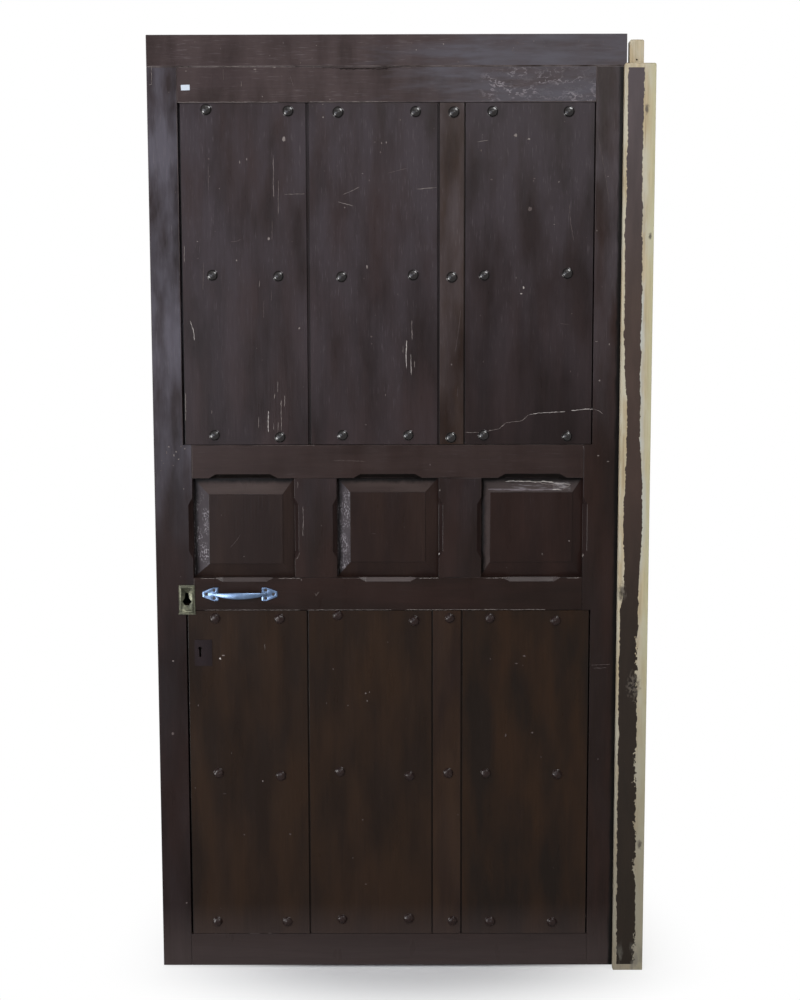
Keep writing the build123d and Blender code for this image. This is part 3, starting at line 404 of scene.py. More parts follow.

# Framing of the leaf: stiles, rails, muntins and the board over the top, planed softwood, mortised
# and tenoned together. Many coats of thin dark brown paint, brushed along the timbers, worn to a
# half gloss, with a grey bloom towards the top that is partly painted sheen, and rubbed thin on the arrises.


def painted_wood(name, deep, warm, bloom, upright, shift, rising=(0.95, 1.85)):
    """Dark brown paint: coats that mottle along the grain, a grey bloom higher up that is partly painted
    sheen, dust at the foot.
    """
    material, tree, shader, place = new_finish(name)
    height = add(tree, "SeparateXYZ", {0: place}).outputs["Z"]
    # coats thinner and warmer in patches of 60 by 260 mm, brush marks of 4 by 90 mm, scuffs of 2 by 30 mm
    layers = []
    for size in ((0.060, 0.060, 0.260), (0.004, 0.004, 0.090), (0.002, 0.002, 0.030)):
        size = size if upright else size[::-1]
        layers.append(mottle(tree, size, shift=(shift, shift, shift)))
    patch, brush, scuff = layers
    thin = add(tree, "MapRange", {"Value": patch, 1: 0.38, 2: 0.62})
    coats = add(tree, "Mix", {0: thin, 6: linear(deep), 7: linear(warm)}, data_type="RGBA")
    # grey bloom in clouds of 50 by 170 mm, stronger with height: partly weathering from sun and smoke, partly
    # painted sheen
    cloud = mottle(tree, (0.050, 0.050, 0.170), shift=(shift, 0, -shift))
    bloom_and_sheen_rise = add(tree, "MapRange", {"Value": height, 1: rising[0], 2: rising[1], 3: 0.05, 4: 0.9})
    clouded = add(tree, "MapRange", {"Value": cloud, 1: 0.36, 2: 0.64, 3: 0.15, 4: 1.25})
    amount = add(tree, "Math", {0: bloom_and_sheen_rise, 1: clouded}, operation="MULTIPLY", use_clamp=True)
    # the scuffs lie where the bloom and painted sheen are
    scuffed = add(tree, "MapRange", {"Value": scuff, 1: 0.6, 2: 0.74, 4: 0.45})
    scuffed = add(tree, "Math", {0: scuffed, 1: amount}, operation="MULTIPLY")
    # grey dust thrown up from the ground, as far as 150 mm
    dust = add(tree, "MapRange", {"Value": height, 1: 0.15, 2: 0.03, 3: 0.0, 4: 0.8})
    colour = coats
    for layer, tint in ((amount, bloom), (scuffed, "#6b6364"), (dust, "#403735")):
        tinted = {0: layer, 6: colour, 7: linear(tint)}
        colour = add(tree, "Mix", tinted, data_type="RGBA")
    streak = add(tree, "MapRange", {"Value": brush, 1: 0.3, 2: 0.7, 3: 0.93, 4: 1.07})
    streaked = add(tree, "VectorMath", {0: colour, "Scale": streak}, operation="SCALE")
    gloss = add(tree, "MapRange", {"Value": cloud, 1: 0.3, 2: 0.7, 3: 0.26, 4: 0.4})
    relief = add(tree, "Math", {0: patch, 1: 4.0, 2: brush}, operation="MULTIPLY_ADD")
    bump = add(tree, "Bump", {"Height": relief, "Strength": 0.3, "Distance": 0.0008})
    look = {"Base Color": streaked, "Roughness": gloss, "Specular IOR Level": 0.08, "Normal": bump}
    fill(tree, shader, look)
    return material


def ragged_patch(tree, xs, zs, stray, size, soft):
    """An area of the leaf's face with frayed, soft edges, and the noise of a given size that frays it."""
    place = add(tree, "TexCoord").outputs["Object"]
    fray = mottle(tree, size, 4.0, 0.6)
    frayed = add(tree, "MapRange", {"Value": fray, 1: 0.3, 2: 0.7, 3: -stray, 4: stray})
    axes = add(tree, "SeparateXYZ", {0: place})
    sides = []
    for axis, (start, end) in (("X", xs), ("Z", zs)):
        moved = add(tree, "Math", {0: axes.outputs[axis], 1: frayed}, operation="ADD")
        away = add(tree, "Math", {0: moved, 1: (start + end) / 2}, operation="SUBTRACT")
        away = add(tree, "Math", {0: away}, operation="ABSOLUTE")
        half = (end - start) / 2
        within = {"Value": away, 1: half - soft, 2: half + soft, 3: 1.0, 4: 0.0}
        sides.append(add(tree, "MapRange", within))
    # it lies on the front alone, and ends 6 to 12 mm behind the middle of the jamb
    inside = add(tree, "MapRange", {"Value": axes.outputs["Y"], 1: 0.012, 2: 0.006})
    for side in sides:
        both = {0: inside, 1: side}
        inside = add(tree, "Math", both, operation="MULTIPLY")
    return inside, fray


def show_through(material, amount, tint, relief, depth):
    """Lays a second colour over a paint by an amount from 0 to 1, with a relief of a given depth."""
    tree = material.node_tree
    shader = tree.nodes["Principled BSDF"]
    whole = shader.inputs["Base Color"].links[0].from_socket
    both = add(tree, "Mix", {0: amount, 6: whole, 7: linear(tint)}, data_type="RGBA")
    under = shader.inputs["Normal"].links[0].from_socket
    bump = {"Height": relief, "Normal": under, "Strength": 0.9, "Distance": depth}
    fill(tree, shader, {"Base Color": both, "Normal": add(tree, "Bump", bump)})


def as_timber(node, arris, shortest, paint, rubbed):
    """A painted timber of the leaf, rubbed on its arrises, in place of its CAD node."""
    timber = eased(node, arris, shortest)
    timber.data.materials.append(paint)
    timber.data.materials.append(rubbed)
    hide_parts(node)
    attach(timber, "leaf")
    return timber


# the lock stile's grey bloom rises fast, between 0.95 and 1.3 m, as painted sheen from the light on the left
stile_tones = ("#1b1210", "#241815", "#504c52")
stile_paint = painted_wood("brown_paint_on_lock_stile", *stile_tones, True, 0.0, (0.95, 1.3))
upright_paint = painted_wood("brown_paint_on_muntins", "#201714", "#2a1d19", "#3d363a", True, 0.0)
high_paint = painted_wood("brown_paint_on_top_board", "#2a201e", "#352a2a", "#413635", False, 0.37)
level_paint = painted_wood("brown_paint_on_rails", "#1e1410", "#271a16", "#352a28", False, 0.37)
hand_paint = painted_wood("brown_paint_above_the_panels", "#281d1a", "#312522", "#392f2d", False, 0.52)
rubbed_arris = painted_wood("paint_rubbed_thin", "#140d0b", "#2b1f1b", "#5f5654", True, 0.71)
# the top rail was mended with coarse filler at its hinge end, brushed over and never rubbed down: its
# ridges run like worms, where the noise passes its middle value
filled_paint = painted_wood("brown_paint_on_filler", "#2a201e", "#352a2a", "#413635", False, 0.37)
# painted sheen: the hinge end of the board and of the rail is painted bluish grey, where a lamp's reflection
# falls
for paint in (high_paint, filled_paint):
    tree = paint.node_tree
    area, painted_sheen_fray = ragged_patch(tree, (-0.42, 0.10), (1.80, 2.20), 0.10, (0.150, 0.02, 0.025), 0.12)
    painted_sheen = add(tree, "MapRange", {"Value": painted_sheen_fray, 1: 0.35, 2: 0.65, 3: 0.3, 4: 1.0})
    painted_sheen = add(tree, "Math", {0: painted_sheen, 1: area}, operation="MULTIPLY")
    show_through(paint, painted_sheen, "#4f4c52", painted_sheen_fray, 0.0001)
tree = filled_paint.node_tree
area, lumps = ragged_patch(tree, (-0.330, -0.085), (1.905, 1.980), 0.030, (0.026, 0.02, 0.014), 0.018)
off = add(tree, "Math", {0: lumps, 1: 0.5}, operation="SUBTRACT")
off = add(tree, "Math", {0: off}, operation="ABSOLUTE")
ridge = add(tree, "MapRange", {"Value": off, 1: 0.01, 2: 0.035, 3: 1.0, 4: 0.0})
worms = add(tree, "Math", {0: ridge, 1: area}, operation="MULTIPLY")
# they are painted pale in knots of 34 by 22 mm, partly as rubbed wear and partly as painted highlights on the
# ridges
knot = mottle(tree, (0.034, 0.02, 0.022), 3.0)
knot = add(tree, "MapRange", {"Value": knot, 1: 0.44, 2: 0.6, 3: 0.1, 4: 0.75})
pale = add(tree, "Math", {0: worms, 1: knot}, operation="MULTIPLY")
show_through(filled_paint, pale, "#8f888b", worms, 0.0006)
# painted shadow: the hinge stile is painted black beside the jamb's stop, where the stop's shadow falls
stop_edge = jamb_low.x
stile_paint_with_painted_shade = painted_wood("brown_paint_with_painted_shade", "#1f1511", "#291b16", "#494245", True, 1.1, (1.15, 1.8))
shade_xs, shade_zs = (stop_edge - 0.0085, 0.0), (0.0, 1.990)
area, painted_shade_fray = ragged_patch(stile_paint_with_painted_shade.node_tree, shade_xs, shade_zs, 0.002, (0.004, 0.02, 0.03), 0.003)
show_through(stile_paint_with_painted_shade, area, "#0c0908", painted_shade_fray, 0.0002)
framing = (
    ("lock_stile", stile_paint),
    ("hinge_stile", stile_paint_with_painted_shade),
    ("left_muntin", upright_paint),
    ("right_muntin", upright_paint),
    ("top_board", high_paint),
    ("top_rail", filled_paint),
    ("upper_lock_rail", hand_paint),
    ("lower_lock_rail", level_paint),
    ("bottom_rail", level_paint),
)
leaf_arris, shortest_rubbed = 0.0010, 0.02
timbers = [as_timber(node, leaf_arris, shortest_rubbed, paint, rubbed_arris) for node, paint in framing]
# the chamfers that face up are painted lighter, for dust and as a painted highlight; those that face
# down are painted near black as painted shade; and the upright ones are dull
dust_and_highlight_chamfer = painted_wood("dusty_paint_with_painted_highlight_on_chamfers", "#473f3d", "#554c4a", "#554c4a", False, 0.9)
shaded_chamfer = painted_wood("paint_with_painted_shade_on_chamfers", "#0b0705", "#100b09", "#100b09", False, 0.9)
dull_chamfer = painted_wood("dull_paint_on_chamfers", "#241b19", "#2f2523", "#2f2523", True, 0.9)
dull_chamfer.node_tree.nodes["Principled BSDF"].inputs["Specular IOR Level"].default_value = 0.0
plain, worn, dust_and_highlight, shaded_down, dull = range(5)
for timber in timbers:
    for chamfer in (dust_and_highlight_chamfer, shaded_chamfer, dull_chamfer):
        timber.data.materials.append(chamfer)
    for face in timber.data.polygons:
        if face.material_index == plain and face.normal.y < -0.5 and abs(face.normal.z) > 0.5:
            face.material_index = dust_and_highlight if face.normal.z > 0 else shaded_down
        if face.material_index == plain and face.normal.y < -0.5 and abs(face.normal.x) > 0.5:
            face.material_index = dull

# Raised panels: three boards with a flat field and sloped margins, slid into grooves in the framing
# before it was pegged. Painted with it; slopes facing up or left are painted lighter, for dust and as
# painted light, and some have crazed and flaked.
field_paints = {
    "left": painted_wood("brown_paint_on_left_panel", "#221815", "#2b1f1a", "#2d2220", True, 1.3),
    "middle": painted_wood("brown_paint_on_middle_panel", "#211613", "#2a1d18", "#302523", True, 2.3),
    "right": painted_wood("brown_paint_on_right_panel", "#201512", "#291b17", "#302523", True, 3.3),
}
# slopes that face up, and the right panel's left slope, are painted lighter than the fields: dust and painted
# light
dust_and_light_slope = painted_wood("dusty_paint_with_painted_light_on_slopes", "#352a27", "#423733", "#423733", False, 4.1)
# crazing: specks of 3 by 5 mm that gather in clumps of 30 by 45 mm, on a base painted lighter as painted
# light from the left
crazed_lit_slope = painted_wood("crazed_paint_with_painted_light_on_slopes", "#383132", "#464042", "#464042", True, 5.1)
tree = crazed_lit_slope.node_tree
clump = mottle(tree, (0.030, 0.02, 0.045), 2.0, 0.5, (0.02, 0, 0.01))
clump = add(tree, "MapRange", {"Value": clump, 1: 0.42, 2: 0.58})
area, specks = ragged_patch(tree, (-1.0, -0.5), (0.90, 1.10), 0.004, (0.003, 0.02, 0.005), 0.004)
lifted = add(tree, "MapRange", {"Value": specks, 1: 0.5, 2: 0.6})
for more in (area, clump):
    lifted = add(tree, "Math", {0: lifted, 1: more}, operation="MULTIPLY")
show_through(crazed_lit_slope, lifted, "#969092", lifted, 0.0006)
# the slope that faces up on the right panel has its base painted lighter than the field, as painted light
# one slope has torn along its grain, and its grey undercoat shows: where, and how much of it
torn_lit_slope = painted_wood("torn_paint_with_painted_light_on_slope", "#38302e", "#4a413f", "#4a413f", False, 6.1)
tears = (
    ((-0.350, -0.160), (1.0835, 1.0860), "#7a7174", 0.40),
    ((-0.270, -0.142), (1.0860, 1.1020), "#6a6465", 0.50),
    ((-0.180, -0.142), (1.0845, 1.1010), "#86807f", 0.47),
)
tree = torn_lit_slope.node_tree
for tear_xs, tear_zs, undercoat, least in tears:
    area, fibres = ragged_patch(tree, tear_xs, tear_zs, 0.0025, (0.030, 0.02, 0.003), 0.0012)
    torn = add(tree, "MapRange", {"Value": fibres, 1: least, 2: least + 0.1})
    torn = add(tree, "Math", {0: torn, 1: area}, operation="MULTIPLY")
    show_through(torn_lit_slope, torn, undercoat, torn, 0.0004)
# painted shadow: the corner under the rail and the corner at the left of each opening are painted near black,
# where the frame's shadow falls on the slopes
opening_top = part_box("upper_lock_rail")[0].z
opening_lefts = [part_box(node)[1].x for node in ("lock_stile", "left_muntin", "right_muntin")]
corners = [((left, left + 0.009), (0.88, 1.2)) for left in opening_lefts]
corners.append(((opening_lefts[0], 0.0), (opening_top - 0.010, opening_top + 0.02)))
for slope_paint in (dust_and_light_slope, crazed_lit_slope, torn_lit_slope):
    for corner_xs, corner_zs in corners:
        tree = slope_paint.node_tree
        area, painted_shade_fray = ragged_patch(tree, corner_xs, corner_zs, 0.002, (0.02, 0.02, 0.02), 0.004)
        show_through(slope_paint, area, "#0e0a09", painted_shade_fray, 0.0001)
# the arris of each field where it faces up is painted pale, partly rubbed by hands and partly a painted
# highlight
field_arris_highlight = painted_wood("painted_highlight_rubbed_on_fields", "#453b39", "#5a504d", "#5a504d", False, 0.71)
slope_paints = {
    "left": (dust_and_light_slope, crazed_lit_slope),
    "middle": (dust_and_light_slope, crazed_lit_slope),
    "right": (torn_lit_slope, dust_and_light_slope),
}
panel_arris, shortest_rubbed = 0.0008, 0.05
plain, worn, upper_slope, left_slope, upper_arris = range(5)
for board, field_paint in field_paints.items():
    panel = as_timber(f"{board}_raised_panel", panel_arris, shortest_rubbed, field_paint, rubbed_arris)
    for slope_paint in slope_paints[board]:
        panel.data.materials.append(slope_paint)
    panel.data.materials.append(field_arris_highlight)
    for face in panel.data.polygons:
        if face.material_index == worn and face.normal.z > 0.02 and face.normal.y < -0.9:
            face.material_index = upper_arris
        if face.material_index == plain and face.normal.z > 0.1 and face.normal.y < -0.5:
            face.material_index = upper_slope
        if face.material_index == plain and face.normal.x < -0.1 and face.normal.y < -0.5:
            face.material_index = left_slope
    timbers.append(panel)

# Planks: four boards above the panels and four below, laid in the framing's rebates with open
# joints between them, and behind them two ledges. Painted in place, so the paint runs into the
# joints, where it is black with dirt; the narrow boards were let in later and show a little redder.
# the heights over which the grey bloom and painted sheen rise on the planks by the hinges
bloom_and_sheen_heights = (1.2, 1.8)
plank_paints = {
    "upper": painted_wood("brown_paint_on_upper_planks", "#231b1a", "#312625", "#393235", True, 2.1),
    "lower": painted_wood("brown_paint_on_lower_planks", "#1f150f", "#2b1d13", "#2d2420", True, 3.7),
    "narrow": painted_wood("brown_paint_on_narrow_planks", "#231711", "#302116", "#463d3d", True, 4.9),
    "upper_right": painted_wood("brown_paint_by_hinges", "#1f1716", "#2a201f", "#383134", True, 2.1, bloom_and_sheen_heights),
    "lower_right": painted_wood("brown_paint_low_by_hinges", "#1c140f", "#2c1d12", "#291f1a", True, 3.7),
}
joint_dirt = painted_wood("dirt_in_plank_joints", "#080605", "#0d0908", "#0d0a09", True, 5.3)
plank_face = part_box("upper_left_plank")[0].y
plank_arris, shortest_joint = 0.0007, 0.3
ledge_arris, shortest_rubbed = 0.0012, 0.05
for field in ("upper", "lower"):
    for board in ("left", "middle", "narrow", "right"):
        finish = {"narrow": "narrow", "right": field + "_right"}.get(board, field)
        paint = plank_paints[finish]
        plank = as_timber(f"{field}_{board}_plank", plank_arris, shortest_joint, paint, joint_dirt)
        for face in plank.data.polygons:
            face.material_index = worn if abs(face.normal.x) > 0.3 else plain
        timbers.append(plank)
    as_timber(f"{field}_back_ledge", ledge_arris, shortest_rubbed, level_paint, rubbed_arris)

# Studs: forged iron nails with domed heads, driven through planks, rails and ledges. Each head was
# hammered by hand, so no two are alike; paint has gathered round them, and it still covers the
# lower ones, while hands have rubbed the upper ones back to iron.


def stud_blank():
    """One stud head of unit width and height, facing -Y, with the skirt of paint round its rim."""
    turns = (0, 0.3, 0.6, 0.9, 1.2, math.pi / 2)
    dome = [(math.sin(turn) * 0.5, -0.12 - 0.88 * math.cos(turn)) for turn in turns]
    profile = dome + [(0.50, -0.08), (0.52, -0.03), (0.54, 0.0), (0.55, 0.05), (0, 0.05)]
    form = bmesh.new()
    sides = 20
    rings = []
    for radius, depth in profile:
        turns = [math.tau * step / sides for step in range(sides if radius else 1)]
        rings.append([form.verts.new((radius * math.cos(t), depth, radius * math.sin(t))) for t in turns])
    for ring, after in zip(rings, rings[1:]):
        for step in range(sides):
            corners = [ring[step % len(ring)], ring[(step + 1) % len(ring)]]
            corners += [after[(step + 1) % len(after)], after[step % len(after)]]
            form.faces.new(list(dict.fromkeys(corners)))
    bmesh.ops.recalc_face_normals(form, faces=form.faces)
    return made("stud_blank", form)


def driven_studs():
    """Geometry Nodes that set a stud head on each point and leave hammer marks on it."""
    sockets = (("Places", "Geometry"), ("Blank", "Object"), ("Head Width", "Float"), ("Head Height", "Float"))
    sockets += (("Hammer Depth", "Float"), ("Seed", "Int"), ("Iron", "Material"))
    tree, given = new_grower("driven_studs", sockets)
    blank = add(tree, "GeometryNodeObjectInfo", {"Object": given["Blank"]})
    whole_turn = {"Max": (0.0, 2 * math.pi, 0.0), "Seed": given["Seed"]}
    turn = add(tree, "FunctionNodeRandomValue", whole_turn, data_type="FLOAT_VECTOR")
    vary = add(tree, "FunctionNodeRandomValue", {2: 0.92, 3: 1.0, "Seed": given["Seed"]}, data_type="FLOAT")
    size = add(tree, "CombineXYZ", {0: given["Head Width"], 1: given["Head Height"], 2: given["Head Width"]})
    own_size = add(tree, "VectorMath", {0: size, "Scale": vary}, operation="SCALE")
    placing = {"Points": given["Places"], "Instance": blank.outputs["Geometry"]}
    placing.update({"Rotation": turn, "Scale": own_size})
    placed = add(tree, "GeometryNodeInstanceOnPoints", placing)
    real = add(tree, "GeometryNodeRealizeInstances", {"Geometry": placed})
    # hammer marks about 9 mm apart
    place = add(tree, "GeometryNodeInputPosition")
    marks = add(tree, "TexNoise", {0: place, "Scale": 1000 / 9, "Detail": 0.0})
    dent = add(tree, "MapRange", {"Value": marks, 1: 0.3, 2: 0.7, 3: -1.0, 4: 0.0})
    depth = add(tree, "Math", {0: dent, 1: given["Hammer Depth"]}, operation="MULTIPLY")
    outward = add(tree, "GeometryNodeInputNormal")
    push = add(tree, "VectorMath", {0: outward, "Scale": depth}, operation="SCALE")
    beaten = add(tree, "GeometryNodeSetPosition", {"Geometry": real, "Offset": push})
    smooth = add(tree, "GeometryNodeSetShadeSmooth", {"Geometry": beaten})
    finished = add(tree, "GeometryNodeSetMaterial", {"Geometry": smooth, "Material": given["Iron"]})
    add(tree, "NodeGroupOutput", {"Made": finished})
    return tree


def stud_iron(name, dark, bare, spread, gloss, shine):
    """Forged iron: black scale and old paint, rubbed through in spots to a dark gloss."""
    # scale and paint break up in spots of about 5 mm
    material, tree, shader, spots, rubbed = spotted(name, 5, (dark, bare), (spread, spread + 0.14))
    metal = add(tree, "MapRange", {"Value": rubbed, 3: 0.0, 4: 0.7})
    roughness = add(tree, "MapRange", {"Value": rubbed, 3: gloss, 4: gloss + 0.06})
    bump = add(tree, "Bump", {"Height": spots, "Strength": 0.15, "Distance": 0.0003})
    look = {"Metallic": metal, "Roughness": roughness, "Specular IOR Level": shine, "Normal": bump}
    fill(tree, shader, look)
    return material


blank = stud_blank()
studs_tree = driven_studs()
stud_groups = (
    ("upper_studs", stud_iron("rubbed_stud_iron", "#151110", "#2c2725", 0.6, 0.24, 0.3), 0.0003, 5),
    ("lower_studs", stud_iron("painted_stud_iron", "#261a17", "#35271f", 0.66, 0.3, 0.12), 0.0018, 8),
)
head_width = 0.0235
for node, iron, hammer, seed in stud_groups:
    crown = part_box(node)[0].y
    spots = [((low.x + high.x) / 2, plank_face, (low.z + high.z) / 2) for low, high in loose_solids(node)]
    inputs = {"Blank": blank, "Head Width": head_width, "Head Height": plank_face - crown}
    inputs.update({"Hammer Depth": hammer, "Seed": seed, "Iron": iron})
    studs = grown(node + "_beaten", points_mesh(node + "_places", spots), studs_tree, inputs)
    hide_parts(node)
    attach(studs, "leaf")
bpy.data.objects.remove(blank)

# Pull handle: a bow pressed from steel sheet, with a spear-shaped plate at each end held by three
# screws. Zinc plated, so it is a cool bluish white that has gone slightly cloudy.


def zinc_plate():
    """Zinc plating over steel: cool, bright and a little cloudy, with soft reflections."""
    # crystals and fingering, clouds of about 9 mm
    tones = ("#42526a", "#667891")
    material, tree, shader, cloud, _ = spotted("clouded_zinc_plating", 9, tones)
    roughness = add(tree, "MapRange", {"Value": cloud, 3: 0.36, 4: 0.56})
    bump = add(tree, "Bump", {"Height": cloud, "Strength": 0.15, "Distance": 0.0003})
    fill(tree, shader, {"Metallic": 1.0, "Roughness": roughness, "Normal": bump})
    return material


handle = turned("pull_handle", "_pressing", 35)
handle.data.materials.append(zinc_plate())
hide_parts("pull_handle")
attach(handle, "leaf")

# Escutcheon: a small cast brass plate with a raised rim and a spade-shaped key slot, pinned to the
# stile over the lock. Tarnished grey-green, bright only where keys rub.


def tarnished_brass():
    """Old brass: grey-green tarnish in blots of 5 mm, a duller yellow between them."""
    tones = ("#2b2c23", "#505040")
    material, tree, shader, spots, _ = spotted("tarnished_brass", 5, tones, (0.36, 0.66), 5.0, 0.65)
    roughness = add(tree, "MapRange", {"Value": spots, 3: 0.6, 4: 0.4})
    bump = add(tree, "Bump", {"Height": spots, "Strength": 0.4, "Distance": 0.0004})
    fill(tree, shader, {"Metallic": 0.7, "Roughness": roughness, "Normal": bump})
    return material


escutcheon = turned("lock_escutcheon", "_casting", 35)
escutcheon.data.materials.append(tarnished_brass())
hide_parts("lock_escutcheon")
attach(escutcheon, "leaf")

# Old keyhole plate: thin iron round the keyhole of a lock that is gone, let in flush and painted
# over with the planks, so only its edge and the hole still show.
old_plate = turned("old_keyhole_plate", "_iron", 30)
plate_paint = painted_wood("brown_paint_on_iron_plate", "#1b1516", "#241b1c", "#3a3235", True, 6.1)
old_plate.data.materials.append(plate_paint)
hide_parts("old_keyhole_plate")
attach(old_plate, "leaf")

# Rim lock: a case folded from steel sheet and screwed to the back of the leaf, stoved black, with a
# square bolt of bare steel that slides out of the leaf's free edge.


def stoved_black():
    """Black stoving enamel: satin, with an orange peel of 2 mm and grey rub marks of 22 mm."""
    tones = ("#161515", "#3a3735")
    material, tree, shader, rubs, _ = spotted("black_stoving_enamel", 22, tones, (0.58, 0.78), 5.0, 0.7)
    peel = mottle(tree, (0.002, 0.002, 0.002), 2.0)
    roughness = add(tree, "MapRange", {"Value": rubs, 3: 0.3, 4: 0.55})
    bump = add(tree, "Bump", {"Height": peel, "Strength": 0.15, "Distance": 0.0002})
    fill(tree, shader, {"Roughness": roughness, "Normal": bump})
    return material


case = turned("lock_case", "_folding", 30)
case.data.materials.append(stoved_black())
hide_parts("lock_case")
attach(case, "leaf")
bolt = turned("lock_bolt", "_bar", 30)
bolt.data.materials.append(dull_steel("greased_bolt_steel", "#8b8883", "#4a3a2e", 0.1))
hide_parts("lock_bolt")
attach(bolt, "bolt")

# Wear: scratches and chips through the paint, down to grey undercoat and to wood. Each lies on the
# timber that carries it as a ragged sliver no thicker than the paint. Some pale strokes along arrises
# are painted highlights, and the dark sliver in the open joint is painted shade. Places are in
# millimetres from the leaf's free edge and from the floor.


def worn_spot(name, shade, light):
    """What shows where paint is gone: matt undercoat and wood, uneven over 3 mm."""
    material, tree, shader, speckle, _ = spotted(name, 3, (shade, light), detail=3.0)
    bump = add(tree, "Bump", {"Height": speckle, "Strength": 0.4, "Distance": 0.0003})
    fill(tree, shader, {"Roughness": 0.7, "Specular IOR Level": 0.1, "Normal": bump})
    return material


def skin_depth(x, z):
    """Where the front of the painted timbers is, at a place on the leaf."""
    return leaf_skin.ray_cast(Vector((x, -1, z)), Vector((0, 1, 0)))[0].y


def scratch(form, tone, width, *route):
    """A ragged closed sliver along a route: pointed at both ends, broader and thinner by chance."""
    spots = []
    for (x0, z0), (x1, z1) in zip(route, route[1:]):
        steps = max(2, round(math.hypot(x1 - x0, z1 - z0) / 4))
        spots += [(x0 + (x1 - x0) * step / steps, z0 + (z1 - z0) * step / steps) for step in range(steps)]
    spots.append(route[-1])
    rings = []
    for number, (x, z) in enumerate(spots):
        before, after = spots[max(number - 1, 0)], spots[min(number + 1, len(spots) - 1)]
        way = Vector((after[0] - before[0], after[1] - before[1])).normalized()
        half = width / 2 * chance.uniform(0.35, 1.1) * (0.15 if number in (0, len(spots) - 1) else 1)
        drift = chance.uniform(-0.3, 0.3) * width
        x, z = leaf_corner.x + (x - way.y * drift) / 1000, (z + way.x * drift) / 1000
        depth = skin_depth(x, z)
        side = Vector((-way.y, 0, way.x)) * half / 1000
        middle = Vector((x, depth, z))
        bed, crest = Vector((0, 0.00005, 0)), Vector((0, -0.0003, 0))
        rings.append([form.verts.new(middle + lift) for lift in (side + bed, crest, bed - side)])
    for ring, after in zip(rings, rings[1:]):
        for edge in range(3):
            pair = (edge, (edge + 1) % 3)
            corners = [ring[pair[0]], ring[pair[1]], after[pair[1]], after[pair[0]]]
            form.faces.new(corners).material_index = tone
    form.faces.new(rings[0]).material_index = tone
    form.faces.new(rings[-1][::-1]).material_index = tone


def chip(form, tone, x, z, wide, tall):
    """A ragged closed flake, lens-shaped, bedded on the paint."""
    x, z = leaf_corner.x + x / 1000, z / 1000
    rim = []
    sides = 9
    for turn in range(sides):
        reach = chance.uniform(0.55, 1.1)
        spot_x = x + math.cos(turn * math.tau / sides) * wide / 2000 * reach
        spot_z = z + math.sin(turn * math.tau / sides) * tall / 2000 * reach
        rim.append(form.verts.new((spot_x, skin_depth(x, z) + 0.00005, spot_z)))
    for lift in (-0.0003, 0.0004):
        middle = form.verts.new((x, skin_depth(x, z) + lift, z))
        for here, there in zip(rim, rim[1:] + rim[:1]):
            form.faces.new((here, there, middle)).material_index = tone


